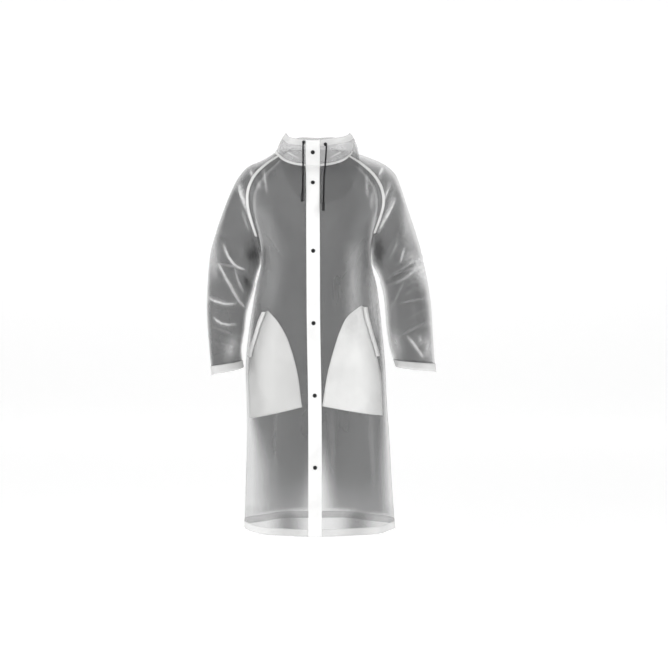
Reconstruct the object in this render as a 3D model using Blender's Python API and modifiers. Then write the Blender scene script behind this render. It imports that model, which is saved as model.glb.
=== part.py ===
"""A translucent hooded raincoat, worn and hollow, made of welded film.

Metres, +Z up. The front faces -Y, and the left side of the coat as worn is at +X. The origin
lies inside the neckline, at the height of the shoulders, where the coat is held up. Every panel
is a thin wall between seams, and what lies on a panel is made from that panel's own points,
moved out or in.
"""

import math

import bmesh
import bpy
import numpy as np
from mathutils import Vector

COLLECTION = "Hooded raincoat"

# ------------------------------------------------------------------ driving sizes
WALL = 0.0012  # film of the panels
STRIP = 0.0010  # film of bands, strips and pocket bags
TAPE = 0.0008  # welded tape
SEAM = 0.0003  # clear distance between two pieces that meet
HEM_HEIGHT = -1.158
UNDERARM_HEIGHT = -0.335
HEM_BAND = 0.022
CUFF_BAND = 0.022
CHANNEL_BAND = 0.020
TAPE_HALF_WIDTH = 0.0055
PANEL_EDGE = 0.012  # from the middle of the front opening to the edge of a front panel
PLACKET_EDGE = 0.020  # from the middle of the front opening to the edge of the placket
SNAP_HEIGHTS = (0.0025, -0.091, -0.2965, -0.5143, -0.7326, -0.950)
SNAP_RADIUS = 0.0062
CORD_DIAMETER = 0.005
CORD_STEP = 0.0066  # length of a straight piece of a cord's wall
TIP_RADIUS = 0.0044
TIP_LENGTH = 0.026
PLACKET_CROWN = 0.0004  # how far the placket stands out between the two fronts
STUD_SEAT = -0.0012  # where a stud starts, measured out from the middle of the placket
ROUND_STEPS = 12  # flats round a snap or a tip
EYELET_STEPS = 16
EYELET_RING = (
    # radius, height above the channel
    (0.0029, 0.0012),
    (0.0046, 0.0012),
    (0.0052, 0.0006),
    (0.0052, 0.0),
    (0.0029, 0.0),
    (0.0029, 0.0012),
)

# ------------------------------------------------------------------ how finely the walls are cut
LOWER_STEPS = 12  # rows between the hem band and the underarm
UPPER_STEPS = 8  # rows between the underarm and the neckline
FRONT_STEPS = 10  # columns from the placket to the side
BACK_STEPS = 20
SLEEVE_STEPS = 20
SLEEVE_ROWS = 10
HOOD_ROWS = 11
POCKET_ROWS = 8
POCKET_STEPS = 6

# ------------------------------------------------------------------ tables
# Where the middle of the front opening lies, from hem to neck.
OPENING_MIDDLE = (
    # height, across
    (-1.158, -0.0030),
    (-0.740, -0.0039),
    (-0.510, -0.0076),
    (-0.300, -0.0085),
    (0.040, -0.0100),
)

# How far the body reaches from the middle at each height below the underarm.
BODY_RINGS = (
    # height, to +X, to -X, to the front, to the back
    (-1.158, 0.2460, 0.2230, 0.198, 0.216),
    (-1.040, 0.2370, 0.2185, 0.191, 0.209),
    (-0.884, 0.2280, 0.2140, 0.185, 0.201),
    (-0.760, 0.2190, 0.2145, 0.180, 0.193),
    (-0.654, 0.2140, 0.2170, 0.177, 0.186),
    (-0.574, 0.2070, 0.2105, 0.174, 0.180),
    (-0.480, 0.1970, 0.1970, 0.171, 0.173),
    (-0.388, 0.1840, 0.1810, 0.170, 0.168),
    (-0.335, 0.1720, 0.1705, 0.170, 0.166),
)

# Ridges and hollows that run up the skirt from the hem and fade out.
FLUTES = (
    # angle from the front middle, half width of the fold (degrees), depth at the hem, where it ends
    (-72.0, 13.0, -0.006, -0.62),
    (-41.0, 10.0, 0.007, -0.80),
    (-24.0, 8.0, -0.006, -0.86),
    (26.0, 10.0, -0.005, -0.88),
    (48.0, 11.0, 0.009, -0.76),
    (70.0, 12.0, -0.007, -0.70),
    (112.0, 12.0, 0.008, -0.70),
    (134.0, 11.0, -0.009, -0.62),
    (158.0, 12.0, 0.010, -0.66),
    (-178.0, 12.0, -0.009, -0.58),
    (-155.0, 12.0, 0.011, -0.68),
    (-131.0, 11.0, -0.008, -0.72),
    (-108.0, 12.0, 0.008, -0.66),
)

# Middle lines of the chest and of the back, from the underarm (0) to the neckline (1).
CHEST_MIDDLE = (
    # share, depth, height
    (0.00, -0.170, -0.335),
    (0.25, -0.168, -0.262),
    (0.40, -0.163, -0.213),
    (0.55, -0.155, -0.165),
    (0.70, -0.143, -0.116),
    (0.85, -0.122, -0.072),
    (1.00, -0.095, -0.037),
)
BACK_MIDDLE = (
    (0.00, 0.166, -0.335),
    (0.25, 0.165, -0.255),
    (0.40, 0.162, -0.200),
    (0.55, 0.156, -0.148),
    (0.70, 0.144, -0.092),
    (0.85, 0.119, -0.034),
    (1.00, 0.080, 0.020),
)

# The raglan seams, from the underarm (0) to the neckline (1).
FRONT_RAGLAN = (
    # share, across at +X, height at +X, across at -X, height at -X, depth
    (0.00, 0.1720, -0.335, 0.1705, -0.335, 0.000),
    (0.10, 0.1690, -0.300, 0.1705, -0.303, -0.026),
    (0.25, 0.1780, -0.242, 0.1820, -0.252, -0.056),
    (0.40, 0.1970, -0.187, 0.1990, -0.195, -0.074),
    (0.55, 0.2055, -0.136, 0.2090, -0.138, -0.080),
    (0.70, 0.1900, -0.084, 0.1975, -0.084, -0.076),
    (0.85, 0.1500, -0.040, 0.1600, -0.038, -0.062),
    (1.00, 0.1010, -0.004, 0.1130, -0.005, -0.0356),
)
BACK_RAGLAN = (
    # share, across at +X, across at -X, depth, height
    (0.00, 0.1720, 0.1705, 0.000, -0.335),
    (0.10, 0.1690, 0.1700, 0.028, -0.300),
    (0.25, 0.1770, 0.1800, 0.060, -0.242),
    (0.40, 0.1910, 0.1940, 0.082, -0.186),
    (0.55, 0.1950, 0.1980, 0.094, -0.132),
    (0.70, 0.1760, 0.1800, 0.098, -0.078),
    (0.85, 0.1280, 0.1320, 0.090, -0.030),
    (1.00, 0.0764, 0.0863, 0.0566, 0.017),
)

# The neckline: its height from the front seam of a sleeve round to the back middle.
NECK_WIDTHS = {1: 0.108, -1: 0.122}
NECK_FRONT_DEPTH = 0.095
NECK_BACK_DEPTH = 0.080
NECK_SEAM_ANGLES = (68.0, 135.0)  # where the front and back raglan seams meet the neckline
NECK_HEIGHTS = (
    # angle from the front middle, height
    (68.0, -0.004),
    (95.0, 0.010),
    (115.0, 0.015),
    (135.0, 0.017),
    (180.0, 0.020),
)
NECK_RISE = 2.2  # how late the front of the neckline climbs towards the shoulder

# The outermost line of a sleeve's upper part, from the underarm (0) to the neckline (1).
SHOULDER_LINE = {
    # share, across, height
    1: (
        (0.00, 0.3270, -0.300),
        (0.15, 0.3080, -0.234),
        (0.30, 0.2880, -0.175),
        (0.45, 0.2690, -0.117),
        (0.60, 0.2510, -0.067),
        (0.72, 0.2270, -0.039),
        (0.85, 0.1780, -0.013),
        (1.00, 0.1080, 0.012),
    ),
    -1: (
        (0.00, 0.3270, -0.305),
        (0.15, 0.3090, -0.236),
        (0.30, 0.2890, -0.175),
        (0.45, 0.2660, -0.119),
        (0.60, 0.2450, -0.077),
        (0.72, 0.2230, -0.046),
        (0.85, 0.1780, -0.023),
        (1.00, 0.1220, 0.010),
    ),
}
SHOULDER_DEPTH = 0.006

# The sleeves below the underarm, from the cuff (0) up to the underarm (1).
SLEEVE_RINGS = {
    # share, inner across, inner height, outer across, outer height, middle depth, half depth
    1: (
        (0.00, 0.2450, -0.651, 0.3690, -0.669, -0.055, 0.060),
        (0.15, 0.2310, -0.604, 0.3655, -0.616, -0.042, 0.063),
        (0.35, 0.2200, -0.540, 0.3620, -0.548, -0.024, 0.067),
        (0.55, 0.2155, -0.480, 0.3590, -0.486, -0.009, 0.071),
        (0.72, 0.2090, -0.425, 0.3520, -0.424, 0.002, 0.073),
        (0.87, 0.1930, -0.376, 0.3405, -0.360, 0.004, 0.075),
        (1.00, 0.1720, -0.335, 0.3270, -0.300, 0.000, 0.0756),
    ),
    -1: (
        (0.00, 0.2230, -0.653, 0.3210, -0.679, -0.058, 0.050),
        (0.15, 0.2300, -0.606, 0.3280, -0.622, -0.044, 0.053),
        (0.35, 0.2210, -0.542, 0.3350, -0.550, -0.025, 0.060),
        (0.55, 0.2130, -0.480, 0.3385, -0.484, -0.009, 0.067),
        (0.72, 0.1960, -0.425, 0.3375, -0.424, 0.002, 0.071),
        (0.87, 0.1840, -0.378, 0.3340, -0.362, 0.004, 0.074),
        (1.00, 0.1705, -0.335, 0.3270, -0.305, 0.000, 0.0756),
    ),
}

# The hood, lying down behind the neck: from the neckline its film goes up to a fold, down to the
# bottom of a pouch that lies on the back, and up again to its rim. At the front it only stands up.
HOOD_SECTIONS = (
    # angle, fold out and height, pouch bottom out and height, rim out and height
    (0.0, 0.0020, -0.018, 0.0040, 0.003, 0.0040, 0.038),
    (25.0, 0.0035, -0.012, 0.0060, 0.010, 0.0040, 0.045),
    (50.0, 0.0060, 0.002, 0.0100, 0.020, 0.0030, 0.052),
    (75.0, 0.0090, 0.018, 0.0120, 0.034, 0.0000, 0.061),
    (95.0, 0.0080, 0.032, 0.0110, 0.044, -0.0010, 0.066),
    (115.0, 0.0050, 0.052, 0.0360, 0.014, 0.0140, 0.066),
    (135.0, 0.0120, 0.058, 0.0820, -0.060, 0.0520, 0.060),
    (155.0, 0.0160, 0.056, 0.0960, -0.128, 0.0740, 0.052),
    (180.0, 0.0180, 0.054, 0.1000, -0.155, 0.0830, 0.046),
)
POUCH_BELLY = 0.030  # how far the outer layer of the pouch swells at the back
HOOD_LEAN = {1: 0.004, -1: 0.029}  # how far the rim leans in at the side of the neck
HOOD_TURN = {1: 0.0, -1: 20.0}  # how far the pouch turns from the side to the back, in degrees

# The pocket bags, seen through the front: their edges from top to bottom.
POCKET_BAGS = {
    # share, inner across, inner height, outer across, outer height
    1: (
        (0.00, 0.1390, -0.463, 0.1500, -0.468),
        (0.12, 0.0990, -0.493, 0.1545, -0.500),
        (0.27, 0.0753, -0.535, 0.1675, -0.545),
        (0.45, 0.0555, -0.592, 0.1850, -0.603),
        (0.62, 0.0392, -0.648, 0.1985, -0.662),
        (1.00, 0.0192, -0.765, 0.2090, -0.803),
    ),
    -1: (
        (0.00, 0.1490, -0.478, 0.1590, -0.483),
        (0.12, 0.1220, -0.506, 0.1700, -0.512),
        (0.27, 0.0960, -0.545, 0.1840, -0.553),
        (0.45, 0.0750, -0.598, 0.2010, -0.608),
        (0.62, 0.0600, -0.652, 0.2095, -0.664),
        (1.00, 0.0430, -0.768, 0.2080, -0.812),
    ),
}
WELT_HALF_WIDTH = 0.006
WELT_END = 0.50  # how far down the outer edge of the bag its mouth runs

# Large creases of the sleeves, in front view. A ridge has a positive depth.
SLEEVE_CREASES = {
    # from across, height, to across, height, depth, width
    1: (
        (0.300, -0.345, 0.215, -0.395, -0.0065, 0.014),
        (0.330, -0.310, 0.250, -0.350, 0.0050, 0.013),
        (0.255, -0.235, 0.212, -0.330, 0.0050, 0.014),
        (0.236, -0.110, 0.200, -0.215, 0.0045, 0.013),
        (0.350, -0.455, 0.262, -0.490, 0.0040, 0.014),
        (0.352, -0.560, 0.290, -0.590, -0.0040, 0.013),
    ),
    -1: (
        (0.300, -0.350, 0.235, -0.447, -0.0060, 0.014),
        (0.330, -0.285, 0.215, -0.352, 0.0055, 0.014),
        (0.240, -0.095, 0.196, -0.225, 0.0050, 0.013),
        (0.330, -0.447, 0.250, -0.462, 0.0045, 0.013),
        (0.315, -0.506, 0.248, -0.526, 0.0045, 0.013),
        (0.330, -0.590, 0.270, -0.605, -0.0035, 0.013),
    ),
}

# Routes of the two drawcords, from the eyelet in the hood's channel to the tip.
DRAWCORD_ROUTES = {
    "left": (
        (0.0288, -0.0962, 0.0270),
        (0.0303, -0.1010, 0.0268),
        (0.0312, -0.1059, 0.0245),
        (0.0314, -0.1085, 0.0195),
        (0.0312, -0.1092, 0.0100),
        (0.0300, -0.1092, -0.0100),
        (0.0285, -0.1090, -0.0300),
        (0.0268, -0.1105, -0.0500),
        (0.0252, -0.1199, -0.0660),
        (0.0243, -0.1310, -0.0850),
        (0.0238, -0.1410, -0.1050),
        (0.0234, -0.1478, -0.1250),
        (0.0230, -0.1540, -0.1425),
        (0.0228, -0.1560, -0.1500),
    ),
    "right": (
        (-0.0370, -0.0980, 0.0330),
        (-0.0379, -0.1030, 0.0328),
        (-0.0385, -0.1079, 0.0303),
        (-0.0388, -0.1105, 0.0250),
        (-0.0389, -0.1112, 0.0150),
        (-0.0389, -0.1107, -0.0100),
        (-0.0390, -0.1102, -0.0300),
        (-0.0391, -0.1115, -0.0500),
        (-0.0392, -0.1204, -0.0660),
        (-0.0394, -0.1312, -0.0850),
        (-0.0397, -0.1414, -0.1030),
        (-0.0402, -0.1470, -0.1150),
        (-0.0405, -0.1489, -0.1220),
    ),
}


# ------------------------------------------------------------------ shared helpers
def clear_scene():
    for old in list(bpy.data.objects):
        bpy.data.objects.remove(old, do_unlink=True)


def material(name, color, roughness, alpha=1.0, transmission=0.0):
    made = bpy.data.materials.new(name)
    made.use_nodes = True
    shader = made.node_tree.nodes["Principled BSDF"]
    shader.inputs["Base Color"].default_value = (*color, 1.0)
    shader.inputs["Roughness"].default_value = roughness
    shader.inputs["Alpha"].default_value = alpha
    shader.inputs["Transmission Weight"].default_value = transmission
    return made


def along(table, key):
    """The values of a table at a key between its rows, on a smooth curve through them."""
    rows = np.array(table, float)
    keys, values = rows[:, 0], rows[:, 1:]
    key = min(max(key, keys[0]), keys[-1])
    slopes = np.gradient(values, keys, axis=0)
    i = min(max(int(np.searchsorted(keys, key)) - 1, 0), len(keys) - 2)
    step = keys[i + 1] - keys[i]
    t = (key - keys[i]) / step
    return (
        (2 * t**3 - 3 * t**2 + 1) * values[i]
        + (t**3 - 2 * t**2 + t) * step * slopes[i]
        + (3 * t**2 - 2 * t**3) * values[i + 1]
        + (t**3 - t**2) * step * slopes[i + 1]
    )


def smoothstep(low, high, value):
    t = min(max((value - low) / (high - low), 0.0), 1.0)
    return t * t * (3 - 2 * t)


def toward(start, end, distance):
    """The point that lies `distance` from start on the way to end, for single points or rows of them."""
    step = end - start
    return start + step * (distance / np.linalg.norm(step, axis=-1, keepdims=True))


def grid_normals(points):
    """Unit normals of a grid of points, rows upward and columns from the front round to +X."""
    across = np.gradient(points, axis=1)
    upward = np.gradient(points, axis=0)
    normals = np.cross(across, upward)
    return normals / np.maximum(np.linalg.norm(normals, axis=2, keepdims=True), 1e-12)


def film_sheet(name, points, finish, thickness=WALL, lift=0.0, flip=False):
    """A wall of film on a grid of points. Its outer face lies `lift` outside the points."""
    rows, columns = points.shape[:2]
    mesh = bpy.data.meshes.new(name)
    corners = []
    for r in range(rows - 1):
        for c in range(columns - 1):
            here = r * columns + c
            ring = [here, here + 1, here + columns + 1, here + columns]
            if 2 * c >= columns - 1:  # a quad's diagonal leaves its first corner: both halves mirror
                ring = ring[1:] + ring[:1]
            corners.append([ring[0], *ring[:0:-1]] if flip else ring)
    mesh.from_pydata([tuple(p) for p in points.reshape(-1, 3)], [], corners)
    shell = bmesh.new()
    shell.from_mesh(mesh)
    bmesh.ops.remove_doubles(shell, verts=shell.verts, dist=0.00001)
    shell.to_mesh(mesh)
    shell.free()
    mesh.materials.append(finish)
    mesh.shade_smooth()
    obj = bpy.data.objects.new(name, mesh)
    coat.objects.link(obj)
    solid = obj.modifiers.new("Film thickness", "SOLIDIFY")
    solid.thickness = thickness
    solid.offset = 2 * lift / thickness - 1
    return obj


# ------------------------------------------------------------------ the shape of the body
def fold_depth(angle, height):
    """How far the skirt stands out of its plain ring, from the table of flutes."""
    depth = 0.0
    for middle, half_width, most, end in FLUTES:
        turn = (angle - middle + 180.0) % 360.0 - 180.0
        depth += most * math.exp(-((turn / half_width) ** 2)) * smoothstep(end, HEM_HEIGHT, height)
    return depth


def row_point(middle, edge, turn, rise, share):
    """A point on an elliptic row from the middle of a panel (share 0) to its edge (share 1)."""
    end = math.radians(turn)
    angle = end * share
    return np.array(
        (
            middle[0] + (edge[0] - middle[0]) * math.sin(angle) / math.sin(end),
            middle[1] + (edge[1] - middle[1]) * (1 - math.cos(angle)) / (1 - math.cos(end)),
            middle[2] + (edge[2] - middle[2]) * share**rise,
        )
    )


def ring_point(side, height, share, behind=False):
    """A point of the body below the underarm: share 0 is the middle, 1 is the side seam."""
    left, right, front, back = along(BODY_RINGS, height)
    width = left if side > 0 else right
    middle_x = 0.0 if behind else along(OPENING_MIDDLE, height)[0]
    depth = back if behind else -front
    point = row_point((middle_x, depth, height), (side * width, 0.0, height), 90.0, 1.0, share)
    turn = 90.0 * share
    angle = side * (180.0 - turn if behind else turn)
    outward = Vector((side * math.sin(math.radians(turn)) * abs(depth), 0.0, 0.0))
    outward.y = math.copysign(math.cos(math.radians(turn)) * width, depth)
    return point + np.array(outward.normalized()) * fold_depth(angle, height)


def neck_edge(side, behind=False):
    """Where a raglan seam meets the neckline."""
    angle = math.radians(NECK_SEAM_ANGLES[1 if behind else 0])
    height = along(NECK_HEIGHTS, math.degrees(angle))[0]
    depth = NECK_BACK_DEPTH if behind else NECK_FRONT_DEPTH
    return np.array((side * NECK_WIDTHS[side] * math.sin(angle), -depth * math.cos(angle), height))


def neck_point(side, angle):
    """A point of the neckline, at an angle from the front middle."""
    if angle <= NECK_SEAM_ANGLES[0]:
        depth, height = along(CHEST_MIDDLE, 1.0)
        middle = (along(OPENING_MIDDLE, height)[0], depth, height)
        turn = NECK_SEAM_ANGLES[0]
        return row_point(middle, neck_edge(side), turn, NECK_RISE, angle / turn)
    turn = math.radians(angle)
    depth = NECK_FRONT_DEPTH if angle < 90 else NECK_BACK_DEPTH
    height = along(NECK_HEIGHTS, angle)[0]
    return np.array((side * NECK_WIDTHS[side] * math.sin(turn), -depth * math.cos(turn), height))


def raglan_point(side, share, behind=False):
    """A point of a raglan seam, from the underarm (0) to the neckline (1)."""
    if share >= 1.0:
        return neck_edge(side, behind)
    if behind:
        left, right, depth, height = along(BACK_RAGLAN, share)
        return np.array((side * (left if side > 0 else right), depth, height))
    left, left_height, right, right_height, depth = along(FRONT_RAGLAN, share)
    if side > 0:
        return np.array((left, depth, left_height))
    return np.array((-right, depth, right_height))


def yoke_turn(share):
    return 55.0 + 35.0 * (1.0 - share) ** 3


def yoke_row(side, share, behind=False):
    """The middle, edge, turn and rise of a row between the underarm and the neckline."""
    depth, height = along(BACK_MIDDLE if behind else CHEST_MIDDLE, share)
    middle_x = 0.0 if behind else along(OPENING_MIDDLE, height)[0]
    return (middle_x, depth, height), raglan_point(side, share, behind), yoke_turn(share), NECK_RISE


def yoke_point(side, share, across, behind=False):
    point = row_point(*yoke_row(side, share, behind), across)
    top = row_point(*yoke_row(side, 1.0, behind), across)
    first, last = NECK_SEAM_ANGLES
    wanted = neck_point(side, 180.0 - (180.0 - last) * across if behind else first * across)
    return point + (wanted - top) * share**4


def lower_heights():
    return [HEM_HEIGHT, *np.linspace(HEM_HEIGHT + HEM_BAND, UNDERARM_HEIGHT, LOWER_STEPS + 1)]


def upper_shares():
    return [(i + 1) / UPPER_STEPS for i in range(UPPER_STEPS)]


def opening_shares(side, turn, middle_x, edge_x):
    """Column shares of a front panel: its edge, the placket's edge, then even steps to the side."""
    reach = abs(edge_x - middle_x)
    end = math.radians(turn)
    first = [math.asin(d * math.sin(end) / reach) / end for d in (PANEL_EDGE, PLACKET_EDGE)]
    return first + [first[1] + (1 - first[1]) * (i + 1) / FRONT_STEPS for i in range(FRONT_STEPS)]


def front_grid(side):
    rows = []
    for height in lower_heights():
        width = along(BODY_RINGS, height)[0 if side > 0 else 1]
        middle_x = along(OPENING_MIDDLE, height)[0]
        shares = opening_shares(side, 90.0, middle_x, side * width)
        rows.append([ring_point(side, height, share) for share in shares])
    for level in upper_shares():
        middle, edge, turn, _ = yoke_row(side, level)
        shares = opening_shares(side, turn, middle[0], edge[0])
        rows.append([yoke_point(side, level, share) for share in shares])
    return np.array(rows)


def back_grid():
    """The back, from the side at +X over the middle to the side at -X."""
    half = BACK_STEPS // 2
    columns = [(1, 1 - i / half) for i in range(half)] + [(-1, i / half) for i in range(half + 1)]
    rows = [[ring_point(s, h, share, True) for s, share in columns] for h in lower_heights()]
    rows += [[yoke_point(s, up, share, True) for s, share in columns] for up in upper_shares()]
    return np.array(rows)


# ------------------------------------------------------------------ the shape of the sleeves
def bezier(p0, p1, p2, p3, t):
    return (1 - t) ** 3 * p0 + 3 * t * (1 - t) ** 2 * p1 + 3 * t**2 * (1 - t) * p2 + t**3 * p3


def sleeve_row(start, outer, end, turn, handle):
    """A row of a sleeve: from its front seam round its outermost point to its back seam.

    `turn` is the heading at the seams, 0 forward and back, 90 outward. `handle` is the length of
    the curve's handles as a share of the chord.
    """
    side = math.copysign(1.0, outer[0])
    halves = []
    for seam, forward in ((start, -1.0), (end, 1.0)):
        reach = handle * np.linalg.norm(outer - seam)
        heading = np.array(
            (
                side * math.sin(math.radians(turn)),
                forward * math.cos(math.radians(turn)),
                0.0,
            )
        )
        rise = np.array((0.0, 0.0, outer[2] - seam[2]))
        near = seam + heading * reach + rise / 3
        far = outer + np.array((0.0, forward * reach, 0.0)) - rise / 3
        steps = SLEEVE_STEPS // 2
        halves.append([bezier(seam, near, far, outer, i / steps) for i in range(steps + 1)])
    return halves[0] + halves[1][-2::-1]


def crease_offsets(points, normals, creases, side):
    """Displacement of each point along its normal, from creases drawn in front view."""
    offsets = np.zeros(points.shape[:2])
    flat = points[:, :, [0, 2]] * (side, 1.0)
    for x1, z1, x2, z2, depth, width in creases:
        start, end = np.array((x1, z1)), np.array((x2, z2))
        line = end - start
        share = np.clip(((flat - start) @ line) / (line @ line), 0.0, 1.0)
        distance = np.linalg.norm(flat - start - share[:, :, None] * line, axis=2)
        taper = 0.4 + 0.6 * np.sin(np.pi * np.clip(share * 0.9 + 0.05, 0, 1))
        offsets += depth * taper * np.exp(-((distance / width) ** 2))
    return offsets * np.clip(0.35 - normals[:, :, 1], 0.0, 1.0)


def sleeve_grid(side):
    """A sleeve from cuff to neckline. Its first and last columns meet below the underarm."""
    rows = []
    length = abs(SLEEVE_RINGS[side][0][2] - UNDERARM_HEIGHT)
    shares = [0.0, *np.linspace(CUFF_BAND / length, 1.0, SLEEVE_ROWS + 1)]
    for share in shares:
        in_x, in_z, out_x, out_z, middle, half = along(SLEEVE_RINGS[side], share)
        inner = np.array((side * in_x, middle, in_z))
        outer = np.array((side * out_x, middle, out_z))
        handle = 4 / 3 * half / np.linalg.norm(outer - inner)
        rows.append(sleeve_row(inner, outer, inner, 0.0, handle))
    for level in upper_shares():
        out_x, out_z = along(SHOULDER_LINE[side], level)
        outer = np.array((side * out_x, SHOULDER_DEPTH * smoothstep(0, 0.4, level), out_z))
        start, end = raglan_point(side, level), raglan_point(side, level, True)
        turn = 132.0 * smoothstep(-0.02, 0.5, level)
        handle = 0.37 + 0.28 * (1 - level) ** 2.5
        rows.append(sleeve_row(start, outer, end, turn, handle))
    grid = np.array(rows)
    first, last = NECK_SEAM_ANGLES
    for column in range(SLEEVE_STEPS + 1):
        angle = first + (last - first) * column / SLEEVE_STEPS
        shift = neck_point(side, angle) - grid[-1, column]
        for i, level in enumerate(upper_shares()):
            grid[len(shares) + i, column] += shift * level**4
    normals = grid_normals(grid) * side
    offsets = crease_offsets(grid, normals, SLEEVE_CREASES[side], side)
    fade_rows = np.ones(len(grid))
    fade_rows[[0, 1, -1]] = 0.0
    fade_columns = np.ones(SLEEVE_STEPS + 1)
    fade_columns[[0, -1]] = 0.0
    return grid + normals * (offsets * fade_rows[:, None] * fade_columns)[:, :, None]


# ------------------------------------------------------------------ the shape of the hood
def hood_section(side, angle):
    """The film of the hood at one angle, from the neckline to the rim. Its last step is the channel."""
    seam = neck_point(side, angle)
    fold_out, fold_z, low_out, low_z, rim_out, rim_z = along(HOOD_SECTIONS, angle)
    pouch = smoothstep(100.0, 160.0, angle)
    lean = HOOD_LEAN[side] * smoothstep(25.0, 75.0, angle) * (1 - smoothstep(120.0, 180.0, angle))
    turn = HOOD_TURN[side] * smoothstep(60.0, 110.0, angle) * (1 - smoothstep(150.0, 180.0, angle))
    heading = math.radians(angle + turn)
    outward = np.array((side * math.sin(heading), -math.cos(heading)))
    inward = np.array((-side * lean, 0.0))

    def place(out, height, leaning):
        return np.array((*(seam[:2] + outward * out + inward * leaning), height))

    nodes = [
        seam,
        place(fold_out, fold_z, 0.5),
        place((fold_out + low_out) / 2 + 0.012 * pouch, (fold_z + low_z) / 2, 0.65),
        place(low_out, low_z, 0.8),
        place((low_out + rim_out) / 2 + POUCH_BELLY * pouch, (low_z + rim_z) / 2, 0.9),
        place(rim_out, rim_z, 1.0),
    ]
    keys = np.cumsum([0.0] + [np.linalg.norm(b - a) for a, b in zip(nodes, nodes[1:])])
    table = [(key, *node) for key, node in zip(keys, nodes)]
    fine = np.array([along(table, key) for key in np.linspace(0, keys[-1], 120)])
    travel = np.cumsum([0.0, *np.linalg.norm(np.diff(fine, axis=0), axis=1)])
    stops = [*np.linspace(0, travel[-1] - CHANNEL_BAND, HOOD_ROWS), travel[-1]]
    return [np.array([np.interp(stop, travel, fine[:, k]) for k in range(3)]) for stop in stops]


def hood_grid(angles):
    """The hood, from the front edge at +X round the back to the front edge at -X."""
    return np.array([hood_section(side, angle) for side, angle in angles]).transpose(1, 0, 2)


def on_chords(row):
    """Puts every second point of a neckline onto the straight line between its neighbours."""
    row = row.copy()
    for i in range(1, len(row) - 1, 2):
        chord = row[i + 1] - row[i - 1]
        share = np.linalg.norm(row[i] - row[i - 1]) / (
            np.linalg.norm(row[i] - row[i - 1]) + np.linalg.norm(row[i + 1] - row[i])
        )
        row[i] = row[i - 1] + chord * share
    return row


# ------------------------------------------------------------------ grids of all panels
def pull_in(grid, where):
    """Draws one edge of a panel back from its seam by a little over half a seam gap."""
    half = SEAM * 0.7
    if where == "first column":
        grid[:, 0] = toward(grid[:, 0], grid[:, 1], half)
    elif where == "last column":
        grid[:, -1] = toward(grid[:, -1], grid[:, -2], half)
    elif where == "last row":
        grid[-1] = toward(grid[-1], grid[-2], half)
    elif where == "first row":
        grid[0] = toward(grid[0], grid[1], half)


def panel_grids():
    grids = {"back": back_grid()}
    for side in (1, -1):
        grids["front", side] = front_grid(side)
        grids["sleeve", side] = sleeve_grid(side)
    for grid in grids.values():
        grid[-1] = on_chords(grid[-1])
    angles = []
    first, last = NECK_SEAM_ANGLES
    for side in (1, -1):
        middle, edge, turn, _ = yoke_row(side, 1.0)
        shares = opening_shares(side, turn, middle[0], edge[0])[::2]
        half = [(side, first * share) for share in shares]
        steps = SLEEVE_STEPS // 2
        half += [(side, first + (last - first) * (i + 1) / steps) for i in range(steps)]
        steps = BACK_STEPS // 4
        half += [(side, last + (180.0 - last) * (i + 1) / steps) for i in range(steps)]
        angles += half if side > 0 else half[-2::-1]
    grids["hood"] = hood_grid(angles)
    return grids


def clear_seams(grids):
    for side in (1, -1):
        pull_in(grids["front", side], "last column")
        pull_in(grids["front", side], "last row")
        sleeve = grids["sleeve", side]
        seam_rows = sleeve[-UPPER_STEPS:]
        pull_in(seam_rows, "first column")
        pull_in(seam_rows, "last column")
        pull_in(sleeve, "last row")
        underarm = len(sleeve) - UPPER_STEPS - 1
        sleeve[underarm, [0, -1], 2] -= 2 * SEAM
    pull_in(grids["back"], "first column")
    pull_in(grids["back"], "last column")
    pull_in(grids["back"], "last row")
    pull_in(grids["hood"], "first row")


# ------------------------------------------------------------------ pieces
def make_panels(grids, film):
    """Walls lie just inside their points, so that two of them never touch where they fold together."""
    inside = -SEAM / 2
    film_sheet("front_left", grids["front", 1], film, lift=inside)
    film_sheet("front_right", grids["front", -1], film, lift=inside, flip=True)
    film_sheet("back", grids["back"], film, lift=inside)
    film_sheet("sleeve_left", grids["sleeve", 1], film, lift=inside)
    film_sheet("sleeve_right", grids["sleeve", -1], film, lift=inside, flip=True)
    film_sheet("hood", grids["hood"], film, lift=inside)


def placket_grid(grids):
    """The strip over the front opening: from the hem up to the hood's rim, between its two edges."""
    rows = []
    fronts = grids["front", 1], grids["front", -1]
    for left, right in zip(*fronts):
        rows.append(placket_row(left[0], left[1], right[0], right[1]))
    hood = grids["hood"]
    share = (PLACKET_EDGE - PANEL_EDGE) / np.linalg.norm(hood[0, 1] - hood[0, 0])
    for line in hood[1:]:
        left = line[0] + (line[1] - line[0]) * share
        right = line[-1] + (line[-2] - line[-1]) * share
        rows.append(placket_row(line[0], left, line[-1], right))
    return np.array(rows)


def placket_row(left_inner, left_edge, right_inner, right_edge):
    middle = (left_inner + right_inner) / 2
    middle[1] -= PLACKET_CROWN
    return [right_edge, right_inner, middle, left_inner, left_edge]


def make_placket(grids, doubled):
    grid = placket_grid(grids)
    over, under = STRIP + SEAM, -(WALL + 1.5 * SEAM)
    film_sheet("placket_top", grid, doubled, STRIP, over)
    film_sheet("placket_under", grid, doubled, STRIP, under)
    return grid


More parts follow.
